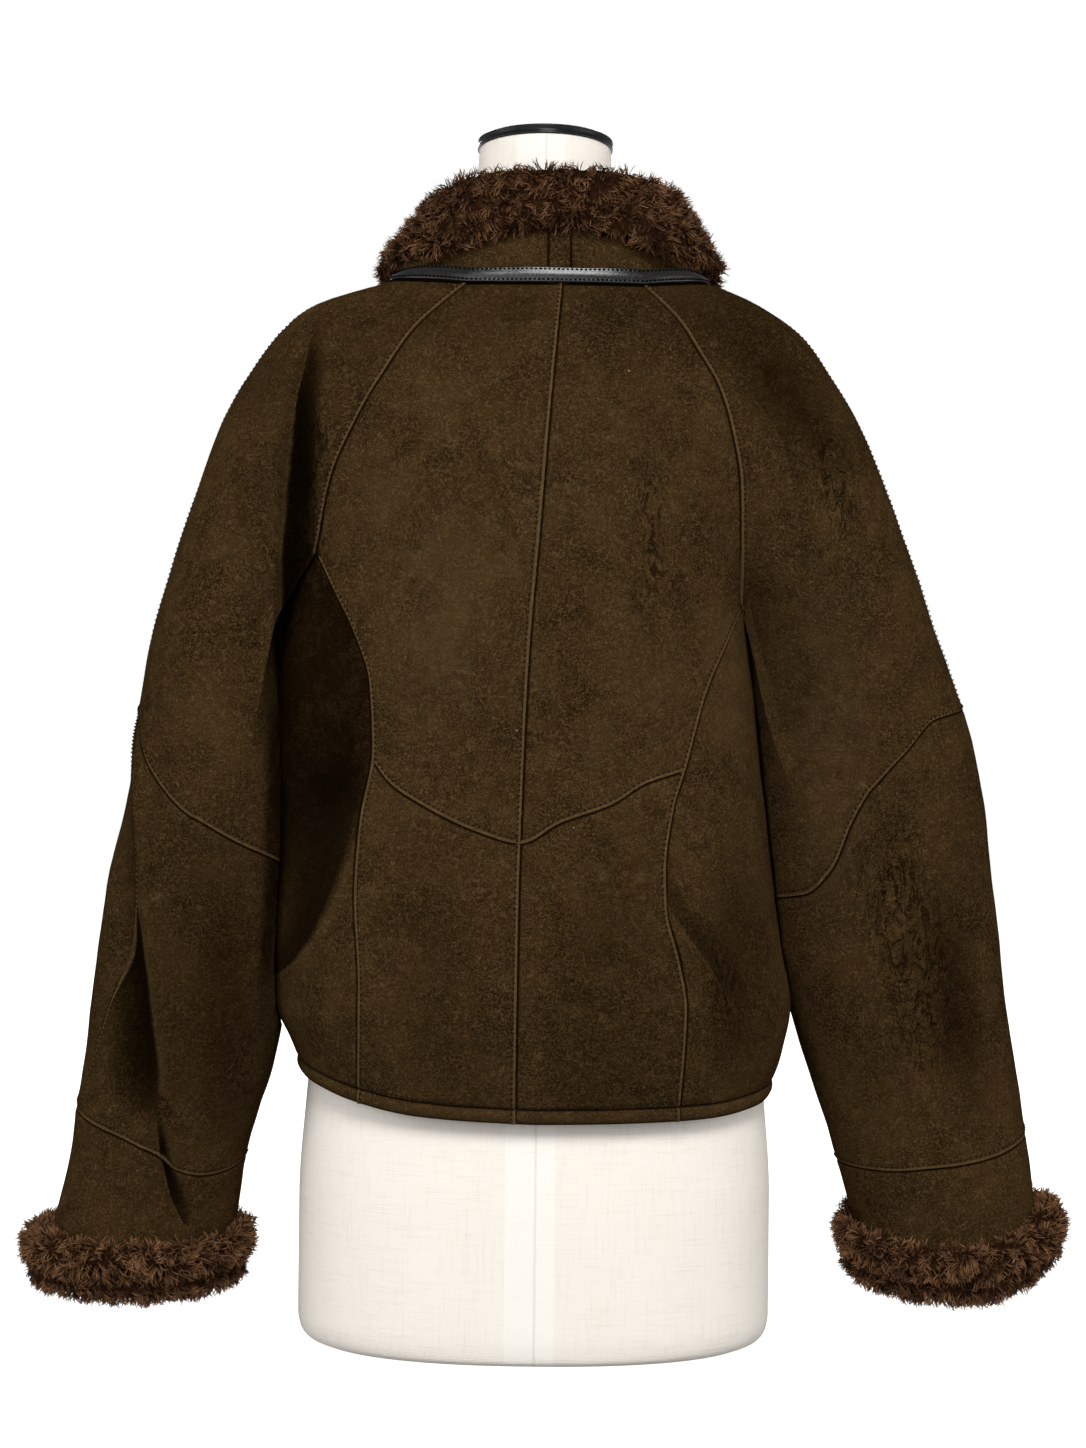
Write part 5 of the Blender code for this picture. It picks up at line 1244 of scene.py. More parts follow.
class Collar:
    """The collar over its seam, which runs from the centre front round the back to the front again."""

    def __init__(self, line):
        flat = (line - NECK_AXIS) * (1, 1, 0)
        way_out = unit(flat)
        angle = np.degrees(np.arctan2(np.abs(flat[:, 0]), flat[:, 1]))
        self.line = line
        self.crest = NECK_AXIS + way_out * COLLAR.read("out", angle)[:, None]
        self.crest[:, 2] = COLLAR.read("high", angle)
        self.fall, self.full = COLLAR.read("fall", angle), COLLAR.read("full", angle)
        self.skirt = COLLAR.read("skirt", angle)
        along = np.concatenate([line[1:], line[1:2]]) - np.concatenate([line[-2:-1], line[:-1]])
        normals = unit(np.cross(along, self.crest - line))
        outward = np.sum(normals * way_out, axis=-1, keepdims=True)
        self.normals = unit(eased(np.where(outward < 0, -normals, normals), 3))

    def stand(self, node, first, last):
        """A piece of the suede stand, between two of the seam's points."""
        line, crest = self.line[first : last + 1], self.crest[first : last + 1]
        levels = (fractions(STAND_LONG) * STAND_SHARE)[:, None, None]
        normals = self.normals[first : last + 1] + 0 * levels
        shell(node, between(line, crest, levels), normals, ())

    def roots(self):
        """The hide under the wool: the roll's rings, set in from its solid by the wool's length."""
        rings = []
        for i, (foot, top, fall) in enumerate(zip(self.line, self.crest, self.fall)):
            places = {
                "fall": fall + 0.08,
                "under": fall + 0.02,
                "back": fall + 0.06,
                "middle": (fall + 1.02) / 2,
            }
            reaches = {
                "skirt": self.skirt[i] - ROOT_IN,
                "tuck": max(0.6 * self.skirt[i] - ROOT_IN, 2.0),
                "round": 13 * self.full[i] - ROOT_IN,
                "top": 8 * self.full[i] - 3,
            }
            up = np.array([[places.get(up, up)] for up, _ in ROOT_SECTION])
            out = np.array([[reaches.get(out, out)] for _, out in ROOT_SECTION])
            rings.append(rounded(between(foot, top, up) + self.normals[i] * out, 2))
        rings = np.array(rings)
        for end, beside in ((0, 1), (-1, -2)):
            spacing = np.linalg.norm(self.line[beside] - self.line[end])
            rings[end] += (rings[beside] - rings[end]) * END_IN / spacing
        return rings


def rounded(ring, times):
    """A closed ring with its corners cut."""
    for _ in range(times):
        after = np.roll(ring, -1, axis=0)
        ring = np.stack([0.75 * ring + 0.25 * after, 0.25 * ring + 0.75 * after], axis=1).reshape(-1, 3)
    return ring


def loft_faces(rings, count, closed):
    """Faces through rings of points: capped at both ends, or closed into a loop."""
    r, c = np.mgrid[0 : rings if closed else rings - 1, 0:count]
    n, s = (c + 1) % count, (r + 1) % rings
    corners = (r * count + c, r * count + n, s * count + n, s * count + c)
    faces = np.stack(corners, axis=-1).reshape(-1, 4).tolist()
    if not closed:
        faces += [list(range(count))[::-1], list(range((rings - 1) * count, rings * count))]
    return faces


ROOT_IN = 5.5  # how far the wool stands over its hide
END_IN = 1.8  # how far the collar's ends draw in
ROOT_SECTION = (
    (0.15, -5.5), (0.16, -10), (0.6, -11.5), (0.96, -8), (1.04, -1.5), (1.0, "top"), ("middle", "round"),
    ("fall", "skirt"), ("under", "tuck"), ("back", 1.0), ("middle", 1.0), (0.97, 1.0), (0.97, -5),
    (0.55, -5),
)
CUFF_ROOTS = (
    (1.2, 1), (1.2, 20), (6, 24.5), (13.5, 23), (18, 17.5), (18.5, 9), (15.5, 2.5), (11.5, -1.5),
    (14.5, -5.5), (13, -10), (8, -13.5), (-3, -14), (-9.5, -8), (-9.5, 4), (-5, 0.5),
)


def cuff_roots(arm):
    """The hide under a cuff's wool, as rings round its end."""
    share = np.linspace(-1, 1, 97)[:-1] + 1e-6
    end, normals = sleeve_grid(arm, share, np.ones(len(share)))
    flat = unit(normals * (1, 1, 0))
    full = CUFF_FUR_FULL.read("full", 180 * share)[:, None]
    rings = []
    for out, over in CUFF_ROOTS:
        level = arm.down_at(share, end[:, 2] + max(over, 0.0))
        surface = arm.point(share, level)
        surface[:, 2] = end[:, 2] + over
        rings.append(surface + flat * out * (full if out > 1 else 1))
    rings = np.stack(rings, axis=1)
    return np.array([rounded(ring, 2) for ring in rings])


# ---------------------------------------------------------------- finishes
class Wave:
    """A socket that takes plain arithmetic: each operation adds a Math node."""

    def __init__(self, finish, socket):
        self.finish, self.socket = finish, socket

    def maths(self, operation, *others):
        inputs = {0: self, **{i + 1: other for i, other in enumerate(others)}}
        return self.finish.node("Math", {"operation": operation}, inputs)["Value"]

    def __add__(self, other):
        return self.maths("ADD", other)

    def __sub__(self, other):
        return self.maths("SUBTRACT", other)

    def __rsub__(self, other):
        return self.maths("MULTIPLY", -1.0).maths("ADD", other)

    def __mul__(self, other):
        return self.maths("MULTIPLY", other)

    def __truediv__(self, other):
        return self.maths("DIVIDE", other)

    def __pow__(self, other):
        return self.maths("POWER", other)

    __radd__, __rmul__ = __add__, __mul__

    def near(self, value, inside, outside):
        """1 this close to a value, eased to 0 further from it."""
        return 1 - (self - value).maths("ABSOLUTE").step(inside, outside)

    def at_least(self, value):
        return self.maths("MAXIMUM", value)

    def at_most(self, value):
        return self.maths("MINIMUM", value)

    def step(self, low, high):
        """0 below low and 1 above high, eased between them."""
        settings = {"interpolation_type": "SMOOTHSTEP"}
        values = {"Value": self, "From Min": low, "From Max": high}
        return self.finish.node("MapRange", settings, values)["Result"]


class Finish:
    """A material being made. node() adds a node: its settings first, then what goes into its sockets."""

    def __init__(self, name, colour, roughness, **constants):
        self.material = bpy.data.materials.new(name)
        self.material.use_nodes = True
        self.tree = self.material.node_tree
        self.shader = self.tree.nodes["Principled BSDF"]
        self.shader.inputs["Base Color"].default_value = (*colour, 1)
        self.shader.inputs["Roughness"].default_value = roughness
        for key, value in constants.items():
            self.shader.inputs[key.replace("_", " ")].default_value = value
        self.place = self.node("TexCoord")["Object"]

    def node(self, kind, settings=None, values=None):
        made = self.tree.nodes.new("ShaderNode" + kind)
        for key, value in (settings or {}).items():
            setattr(made, key, value)
        for key, value in (values or {}).items():
            if isinstance(value, Wave):
                self.tree.links.new(value.socket, made.inputs[key])
            elif value is not None:
                made.inputs[key].default_value = value
        return {output.name: Wave(self, output) for output in made.outputs if output.enabled}

    def noise(self, size, detail=3.0, rough=0.55, distortion=0.0, place=None, stretch=None):
        """Soft noise whose patches are about this size, in millimetres."""
        place = place or self.place
        if stretch:
            place = self.node("Mapping", {}, {"Vector": place, "Scale": stretch})["Vector"]
        values = {"Scale": 1 / (size * MM), "Detail": detail, "Roughness": rough, "Distortion": distortion}
        return self.node("TexNoise", {}, {"Vector": place, **values})["Fac"]

    def value(self, name):
        return self.node("Attribute", {"attribute_name": name})["Fac"]

    def mix(self, share, first, second, blend="MIX"):
        settings = {"data_type": "RGBA", "blend_type": blend}
        made = self.tree.nodes.new("ShaderNodeMix")
        for key, value in settings.items():
            setattr(made, key, value)
        sockets = {s.identifier: s for s in made.inputs}
        wanted = {"Factor_Float": share, "A_Color": first, "B_Color": second}
        for key, value in wanted.items():
            if isinstance(value, Wave):
                self.tree.links.new(value.socket, sockets[key])
            else:
                sockets[key].default_value = value if key == "Factor_Float" else (*value, 1)
        return Wave(self, next(s for s in made.outputs if s.identifier == "Result_Color"))

    def into(self, socket, wave):
        self.tree.links.new(wave.socket, self.shader.inputs[socket])

    def bump(self, height, depth, strength=1.0):
        """Relief of this depth, in millimetres."""
        values = {"Height": height, "Distance": depth * MM, "Strength": strength}
        self.into("Normal", self.node("Bump", {}, values)["Normal"])


def suede_finish(name, light, dark, pale):
    """Sueded skin: cloudy patches of nap, short curled strokes with a painted highlight and shadow, paler
    lips that are worn and painted lit, and painted shade and light.
    """
    skin = Finish(name, light, 0.95, Sheen_Weight=0.02, Sheen_Roughness=0.5, Sheen_Tint=(0.7, 0.42, 0.16, 1),
                  Specular_IOR_Level=0.0)
    clouds = skin.noise(62, 2, 0.5, 0.5).step(0.32, 0.68)
    patches = skin.noise(15, 2, 0.45, 1.0).step(0.33, 0.67)
    flecks = skin.noise(7.5, 3, 0.6, 1.2).step(0.3, 0.7)
    # curls and hooks: short strokes of nap, paler partly as their own tone and partly as a painted
    # highlight; hollows: painted shadow beside them
    curls = skin.noise(5.2, 1.5, 0.5, 1.7).near(0.5, 0.015, 0.075)
    hooks = skin.noise(4.2, 1.5, 0.5, 2.2).near(0.46, 0.012, 0.065)
    hollows = skin.noise(5.2, 1.5, 0.5, 1.7).near(0.58, 0.015, 0.08)
    grain = skin.noise(1.7, 2, 0.75).step(0.3, 0.7)
    broad = skin.noise(30, 2, 0.5, 1.0).step(0.34, 0.66)
    tone = clouds * 0.46 + broad * 0.46 + patches * 0.14 + flecks * 0.06
    colour = skin.mix(tone - 0.1, dark, light)
    colour = skin.mix((1 - grain) * 0.45 + hollows * 0.16, colour, (0.45, 0.43, 0.4), "MULTIPLY")
    colour = skin.mix((curls + hooks) * (0.3 + grain * 0.7) * 0.68, colour, pale)
    scuffs = skin.noise(34, 4, 0.7, 1.5).step(0.55, 0.74) * (0.25 + grain * 0.4 + curls * 0.5)
    colour = skin.mix(scuffs * 0.65, colour, pale)
    # crinkles: dark lines painted into their fine creases as shade, and paler patches between them
    crinkle = skin.value("crinkle")
    veins = skin.noise(13, 3, 0.55, 1.0, stretch=(1.5, 1.5, 0.55))
    veins = veins.near(0.5, 0.0, 0.045) * (crinkle * 1.6).at_most(1.0)
    between = skin.noise(10, 3, 0.6, 1.3, stretch=(1.5, 1.5, 0.6)).step(0.56, 0.66) * crinkle
    colour = skin.mix(veins * 0.8, colour, (0.14, 0.12, 0.1), "MULTIPLY")
    colour = skin.mix(between * (0.5 + grain * 0.4), colour, pale)
    specks = skin.node("TexVoronoi", {}, {"Vector": skin.place, "Scale": 16.0})["Distance"]
    colour = skin.mix((1 - specks.step(0.008, 0.014)) * 0.7, colour, (0.42, 0.34, 0.24))
    # painted shadow on the far side of a fold edge, darkest next to it
    past = skin.value("past")
    fold_shadow = past.step(-0.03, 0.05) * (1 - past.step(0.2, 1.0)) * skin.value("fold_shading")
    # painted shade where the shade value is over 0
    shade = skin.value("shade")
    shadow = shade.at_least(0.0) * (0.72 + broad * 0.3 + flecks * 0.26)
    colour = skin.mix(shadow * 0.95, colour, (0.17, 0.14, 0.1), "MULTIPLY")
    colour = skin.mix(fold_shadow * 0.96, colour, (0.05, 0.035, 0.02), "MULTIPLY")
    # a painted highlight along the fold edge's lit side
    edge = past.step(-0.14, -0.04) * (1 - past.step(-0.03, 0.0)) * skin.value("fold_shading")
    colour = skin.mix(edge * 0.2, colour, pale)
    # painted light where the shade value is under 0
    colour = skin.mix((shade * -1).at_least(0.0) * (0.5 + patches * 0.6), colour, pale)
    lip = skin.value("lip")
    # painted shadow: a dark line along the seams where a panel's edge doesn't lie over the next
    beside = (1 - skin.value("rim").step(0.9, 2.4)) * lip.step(2.4, 3.2)
    colour = skin.mix(beside * 0.9, colour, [c * 0.25 for c in dark])
    # the lips painted paler: partly worn, partly a painted highlight where they stand up
    rough_edge = skin.noise(3.0, 4, 0.75, 0.8)
    worn_and_lit_lips = (1 - (lip + (rough_edge - 0.5) * 1.6).step(1.7, 2.4)) * (0.2 + rough_edge * 0.8)
    colour = skin.mix(worn_and_lit_lips * 0.9, colour, [c * 1.5 for c in pale])
    below = 1 - skin.value("hem").step(HEM_TURN - 1, HEM_TURN)
    colour = skin.mix(below * 0.2, colour, pale)
    # painted shadow in the line pressed over the hem
    pressed = skin.value("hem").near(HEM_TURN, 0.2, 1.2)
    skin.into("Base Color", skin.mix(pressed * 0.85, colour, [c * 0.2 for c in dark]))
    nap = curls * 0.5 + hooks * 0.5 - hollows * 0.4 + grain * 0.6 + patches * 0.6 + flecks * 0.5
    skin.bump(nap - veins * 2.6 - fold_shadow * 2.0, 0.8)
    return skin.material


def wool_finish():
    """The clipped wool inside the jacket."""
    wool = Finish("clipped_wool", (0.09, 0.05, 0.028), 0.95, Sheen_Weight=0.04, Specular_IOR_Level=0.05)
    curls = wool.noise(2.6, 4, 0.7, 2.0)
    wool.into("Base Color", wool.mix(curls.step(0.3, 0.7), (0.014, 0.007, 0.0035), (0.06, 0.034, 0.019)))
    wool.bump(curls, 1.6)
    return wool.material


def fur_finish(name, locks):
    """Long wool: dark at the roots, partly as painted shade among the locks, and lighter at the tips, its
    tone varying lock by lock.
    """
    fur = Finish(name, (0.05, 0.022, 0.012), 0.8, Sheen_Weight=0.015, Sheen_Roughness=0.4,
                 Specular_IOR_Level=0.03, Sheen_Tint=(0.8, 0.5, 0.35, 1))
    patches = fur.noise(16, 4, 0.6, 1.0).step(0.3, 0.7)
    if locks:
        tip = fur.value("tip") ** 1.6
        tone = fur.value("tone")
        root = fur.mix(tone, (0.008, 0.0028, 0.0009), (0.026, 0.0100, 0.0036))
        end = fur.mix(tone * 0.75 + patches * 0.25, (0.036, 0.0128, 0.0042), (0.34, 0.172, 0.082))
        fur.into("Base Color", fur.mix(tip, root, end))
    else:
        # the hide kept very dark, partly as painted shade beneath the locks
        fur.into("Base Color", fur.mix(patches, (0.010, 0.0034, 0.0012), (0.026, 0.0090, 0.0030)))
        fur.bump(fur.noise(2.5, 4, 0.7, 1.5), 1.0)
    return fur.material


def plain_finish(name, first, second, size, roughness, relief, gloss=0.08, **constants):
    """Two close colours in patches of this size, in millimetres."""
    made = Finish(name, first, roughness, Specular_IOR_Level=gloss, **constants)
    mottle = made.noise(size, 4, 0.6, 0.6)
    made.into("Base Color", made.mix(mottle.step(0.3, 0.7), first, second))
    made.into("Roughness", (mottle - 0.5) * 0.3 + roughness)
    made.bump(made.noise(size / 6, 3, 0.6), relief)
    return made.material


LINEN_ROUND = 0.16  # m, the form's usual radius
WARP_PITCH, WEFT_PITCH = 0.00125, 0.00115


def linen_finish():
    """Unbleached linen over the form: a plain weave with thick threads, and a seam with its allowances."""
    linen = Finish("form_linen", (0.82, 0.77, 0.70), 0.92, Sheen_Weight=0.1, Specular_IOR_Level=0.1)
    parts = linen.node("SeparateXYZ", {}, {"Vector": linen.place})
    across, up = parts["X"], parts["Z"]
    turn = across.maths("ARCTAN2", parts["Y"]) * LINEN_ROUND
    wander = (linen.noise(9, 2) - 0.5) * 0.0012
    warp = ((turn + wander) * (2 * math.pi / WARP_PITCH)).maths("SINE")
    weft = ((up + wander) * (2 * math.pi / WEFT_PITCH)).maths("SINE")
    slub_across = linen.noise(1.6, 3, 0.6, stretch=(0.05, 0.05, 1.0))
    slub_up = linen.noise(1.6, 3, 0.6, stretch=(1.0, 1.0, 0.04))
    threads = slub_across.step(0.5, 0.75) * 0.5 + slub_up.step(0.5, 0.75) * 0.5
    tone = warp * 0.12 + weft * 0.12 + threads * 0.7 + linen.noise(60, 3) * 0.35
    colour = linen.mix(tone.step(0.0, 0.9), (0.835, 0.785, 0.715), (0.735, 0.675, 0.60))
    behind = parts["Y"].step(0.0, 0.01)
    strip = across.near(0.003, 0.0175, 0.019) * behind
    colour = linen.mix(strip * 0.55, colour, (0.875, 0.845, 0.80))
    seam = across.near(-0.001, 0.0004, 0.0013) * behind
    linen.into("Base Color", linen.mix(seam * 0.35, colour, (0.55, 0.49, 0.42)))
    linen.bump(warp * 0.3 + weft * 0.3 + threads * 0.8 + seam * -1.0, 0.16)
    return linen.material


SUEDE = suede_finish("suede", (0.054, 0.0292, 0.0094), (0.0185, 0.0093, 0.0029), (0.094, 0.0565, 0.0232))
WOOL = wool_finish()
FUR_HIDE = fur_finish("fur_hide", False)
FUR_LOCKS = fur_finish("fur_locks", True)
LEATHER = plain_finish(
    "strap_leather", (0.006, 0.0055, 0.005), (0.011, 0.010, 0.0095), 3.0, 0.2, 0.08, gloss=0.34
)
HORN = plain_finish(
    "horn", (0.03, 0.015, 0.007), (0.075, 0.04, 0.02), 9.0, 0.36, 0.02, gloss=0.25, Coat_Weight=0.1
)
RING = plain_finish("black_ring", (0.005, 0.005, 0.0055), (0.008, 0.008, 0.009), 6.0, 0.26, 0.02, gloss=0.12)
PALE_THREAD = plain_finish("pale_thread", (0.13, 0.09, 0.055), (0.19, 0.14, 0.095), 2.0, 0.85, 0.1)
DARK_THREAD = plain_finish("dark_thread", (0.006, 0.003, 0.0015), (0.012, 0.007, 0.003), 2.0, 0.85, 0.1)
BLACK_THREAD = plain_finish(
    "black_thread", (0.002, 0.002, 0.002), (0.004, 0.004, 0.004), 2.0, 0.8, 0.1, gloss=0.02
)
LINEN = linen_finish()


# ---------------------------------------------------------------- what repeats
def strewing():
    """Geometry nodes that put a shape on every point, turned and stretched by the points' values."""
    tree = bpy.data.node_groups.new("strew", "GeometryNodeTree")
    sockets = (
        ("Geometry", "INPUT", "NodeSocketGeometry"),
        ("Shape", "INPUT", "NodeSocketObject"),
        ("Finish", "INPUT", "NodeSocketMaterial"),
        ("Size", "INPUT", "NodeSocketFloat"),
        ("Geometry", "OUTPUT", "NodeSocketGeometry"),
    )
    for name, way, kind in sockets:
        socket = tree.interface.new_socket(name, in_out=way, socket_type=kind)
        if name == "Size":
            socket.default_value = 1.0
    kinds = {
        "start": "NodeGroupInput",
        "end": "NodeGroupOutput",
        "shape": "GeometryNodeObjectInfo",
        "put": "GeometryNodeInstanceOnPoints",
        "turn": "GeometryNodeInputNamedAttribute",
        "stretch": "GeometryNodeInputNamedAttribute",
        "spin": "FunctionNodeEulerToRotation",
        "scale": "ShaderNodeVectorMath",
        "real": "GeometryNodeRealizeInstances",
        "finish": "GeometryNodeSetMaterial",
    }
    nodes = {name: tree.nodes.new(kind) for name, kind in kinds.items()}
    nodes["shape"].inputs["As Instance"].default_value = True
    nodes["scale"].operation = "SCALE"
    for name in ("turn", "stretch"):
        nodes[name].data_type = "FLOAT_VECTOR"
        nodes[name].inputs["Name"].default_value = name
    for source, output, target, socket in (
        ("start", "Geometry", "put", "Points"),
        ("start", "Shape", "shape", "Object"),
        ("shape", "Geometry", "put", "Instance"),
        ("turn", "Attribute", "spin", "Euler"),
        ("spin", "Rotation", "put", "Rotation"),
        ("stretch", "Attribute", "scale", 0),
        ("start", "Size", "scale", "Scale"),
        ("scale", "Vector", "put", "Scale"),
        ("put", "Instances", "real", "Geometry"),
        ("real", "Geometry", "finish", "Geometry"),
        ("start", "Finish", "finish", "Material"),
        ("finish", "Geometry", "end", 0),
    ):
        tree.links.new(nodes[source].outputs[output], nodes[target].inputs[socket])
    return tree


STREW = strewing()


def eulers(side, way):
    """XYZ angles that turn a shape's own X to side and its own Z to way."""
    third = np.cross(way, side)
    across = np.arcsin(np.clip(-side[:, 2], -1, 1))
    return joined(np.arctan2(third[:, 2], way[:, 2]), across, np.arctan2(side[:, 1], side[:, 0]))


def strewn(name, shape, finish, slot, points, side, way, stretch, tone=None):
    """A piece made of this shape on every point, its X along side and its Z along way."""
    side = unit(side - way * np.sum(side * way, axis=-1, keepdims=True))
    mesh = bpy.data.meshes.new(name)
    mesh.from_pydata((points * MM).tolist(), [], [])
    set_values(mesh, "turn", eulers(side, way), "FLOAT_VECTOR", "vector")
    set_values(mesh, "stretch", stretch * MM, "FLOAT_VECTOR", "vector")
    if tone is not None:
        set_values(mesh, "tone", tone)
    seeds = linked(name + "_seeds", mesh)
    modifier = seeds.modifiers.new("strew", "NODES")
    modifier.node_group = STREW
    wanted = {"Shape": shape, "Finish": finish, "Size": 1.0}
    for item in STREW.interface.items_tree:
        if item.item_type == "SOCKET" and item.in_out == "INPUT" and item.name in wanted:
            modifier[item.identifier] = wanted[item.name]
    made = with_modifiers(seeds)
    made.name = name
    bpy.data.objects.remove(seeds)
    return placed(linked(name, made), slot)


def shape_object(name, vertices, faces, **values):
    """A shape to be strewn: it isn't linked to the scene."""
    return bpy.data.objects.new(name, new_mesh(name, vertices, faces, **values))


def stitch_shape():
    """One stitch, a millimetre long and wide before it is stretched: a low arch of thread."""
    arch_rows = ((-0.5, 0.2, -0.5), (-0.34, 0.85, 0.25), (0, 1.0, 0.5), (0.34, 0.85, 0.25), (0.5, 0.2, -0.5))
    sections, faces = [], []
    for along, wide, high in arch_rows:
        sections += [(along, -wide / 2, high - 0.3), (along, 0, high + 0.2), (along, wide / 2, high - 0.3)]
    for i in range(len(arch_rows) - 1):
        faces += [(3 * i + a, 3 * i + b, 3 * i + 3 + b, 3 * i + 3 + a) for a, b in ((0, 1), (1, 2), (2, 0))]
    return shape_object("stitch", sections, faces + [(0, 1, 2), (12, 13, 14)])


def lock_shape(number):
    """One lock of wool, a unit long, standing along Z: a flat, tapering ribbon whose tip curls over."""
    bend, wave, twist = ((3.4, 1.5, 0.9), (-2.6, -1.7, -1.3), (4.4, 1.0, 1.7))[number]
    sections, tips = [], []
    for up, wide in ((0.0, 0.8), (0.35, 1.0), (0.68, 0.75), (0.9, 0.4)):
        middle = np.array([bend * up**2, wave * math.sin(up * 4.4), up - 0.12 * up**3])
        across = np.array([math.sin(twist * up), math.cos(twist * up), 0]) * wide / 2
        sections += [middle - across, middle + across]
        tips += [up, up]
    sections.append(np.array([bend * 1.1, wave * math.sin(4.4), 0.86]))
    faces = [(2 * k, 2 * k + 1, 2 * k + 3, 2 * k + 2) for k in range(3)] + [(6, 7, 8)]
    return shape_object(f"lock_{number}", [v.tolist() for v in sections], faces, tip=tips + [1.0])


# ---------------------------------------------------------------- fur
LOCKS_A_CURL = 14  # how many locks lean together
CURL_WIDE = 13.0  # breadth of the fur's waves
LOCK_OUT, LOCK_DROOP = 0.5, (0, 0, -0.45)  # what a lock's direction is made of
LOCK_GATHER, LOCK_CURL, LOCK_STRAY, LOCK_LEAST_OUT = 0.06, 1.25, 0.06, 0.3
LOCK_TURN = 10.0  # breadth over which their flat sides turn
LOCK_ROOT = 0.8  # how deep they start in the hide


def scattered(rings, closed, shown, count, mesh, dice):
    """Places on the part of a hide that shows: points, normals and how far round its section."""
    around = rings.shape[1]
    normals, areas = np.empty(3 * len(mesh.polygons)), np.empty(len(mesh.polygons))
    mesh.polygons.foreach_get("normal", normals)
    mesh.polygons.foreach_get("area", areas)
    corners = np.empty((len(mesh.loops),), int)
    mesh.loops.foreach_get("vertex_index", corners)
    quads = corners[: 4 * (len(rings) if closed else len(rings) - 1) * around].reshape(-1, 4)
    section = np.tile(np.arange(around), len(quads) // around) / around
    weight = areas[: len(quads)] * np.where((section >= shown[0]) & (section <= shown[1]), 1.0, 0.0)
    chosen = dice.choice(len(quads), count, p=weight / weight.sum())
    u, v = dice.random((2, count, 1))
    a, b, c, d = (rings.reshape(-1, 3)[quads[chosen, k]] for k in range(4))
    points = (a * (1 - u) + b * u) * (1 - v) + (d * (1 - u) + c * u) * v
    return points, normals.reshape(-1, 3)[chosen], section[chosen]


def wandering(points, size, shift=0.0):
    """A direction at each point that turns smoothly over this size."""
    return np.array([noise.noise_vector(Vector(p / size + shift)) for p in points])


def fur(name, slot, rings, closed, shown, count, long, wide, bright, seed, crease=None):
    """The hide from its rings, and locks of wool over the part of its section that shows."""
    faces = loft_faces(len(rings), rings.shape[1], closed)
    hide = new_object(f"{name}_hide", rings, faces, [FUR_HIDE])
    placed(hide, slot, name)
    dice = np.random.default_rng(seed)
    points, normal, section = scattered(rings, closed, shown, count, hide.data, dice)
    middles = points[dice.choice(count, count // LOCKS_A_CURL, replace=False)]
    tree = KDTree(len(middles))
    for i, middle in enumerate(middles):
        tree.insert(Vector(middle), i)
    tree.balance()
    nearest = [tree.find(Vector(p)) for p in points]
    towards = np.array([found[0] for found in nearest]) - points
    own = dice.random(len(middles))[[found[1] for found in nearest]]
    curl = wandering(points, CURL_WIDE)
    way = normal * LOCK_OUT + LOCK_DROOP + towards * LOCK_GATHER + curl * LOCK_CURL
    way = way + dice.normal(0, LOCK_STRAY, (count, 3))
    outward = np.sum(way * normal, axis=-1, keepdims=True)
    way = unit(way + normal * np.maximum(LOCK_LEAST_OUT - outward, 0))
    length = long * (0.75 + 0.5 * dice.random(count)) * (0.85 + 0.3 * own)
    width = wide * (0.8 + 0.5 * dice.random(count))
    tone = np.clip(0.6 * own + 0.5 * dice.random(count) + bright, 0, 1)
    # painted shade: the locks in the crease between a cuff's two rolls are darker, and shorter
    if crease:
        place, reach = crease
        near = np.exp(-(((section - place) / reach) ** 2))
        tone *= 1 - 0.97 * near
        length *= 1 - 0.5 * near
    side = wandering(points, LOCK_TURN, 7) + dice.normal(0, 0.1, (count, 3))
    roots = points - normal * LOCK_ROOT
    stretch = joined(width, width, length)
    kind = dice.integers(0, len(LOCKS), count)
    for number, shape in enumerate(LOCKS):
        these = kind == number
        values = (part[these] for part in (roots, side, way, stretch, tone))
        strewn(f"{name}_locks_{number + 1}", shape, FUR_LOCKS, slot, *values)


# ---------------------------------------------------------------- stitches
def reach_along(points):
    """How far along a run of points each one is."""
    return np.concatenate([[0], np.cumsum(np.linalg.norm(np.diff(points, axis=0), axis=-1))])


def read_along(places, reach, rows):
    """Rows of coordinates read at these places of their run."""
    return joined(*(np.interp(places, reach, rows[:, k]) for k in range(3)))


def stitched(name, finish, lines, pitch, long, wide, raise_by=0.12, slot="suede"):
    """Rows of stitches along lines, each a run of points with the normals there."""
    at, ways, sides = [], [], []
    for points, normals in lines:
        reach = reach_along(points)
        places = np.arange(pitch * 0.6, reach[-1] - pitch * 0.4, pitch)
        here, ahead = read_along(places, reach, points), read_along(places + pitch * 0.3, reach, points)
        way = unit(read_along(places, reach, normals))
        at.append(here + way * raise_by)
        ways.append(way)
        sides.append(ahead - here)
    at, ways, sides = (np.concatenate(v) for v in (at, ways, sides))
    dice = np.random.default_rng(len(at))
    longs, wides = long * dice.uniform(0.85, 1.1, len(at)), np.full(len(at), wide)
    sides = unit(sides) + dice.normal(0, 0.05, at.shape)
    strewn(name, STITCH, finish, slot, at, sides, ways, joined(longs, wides, wides))


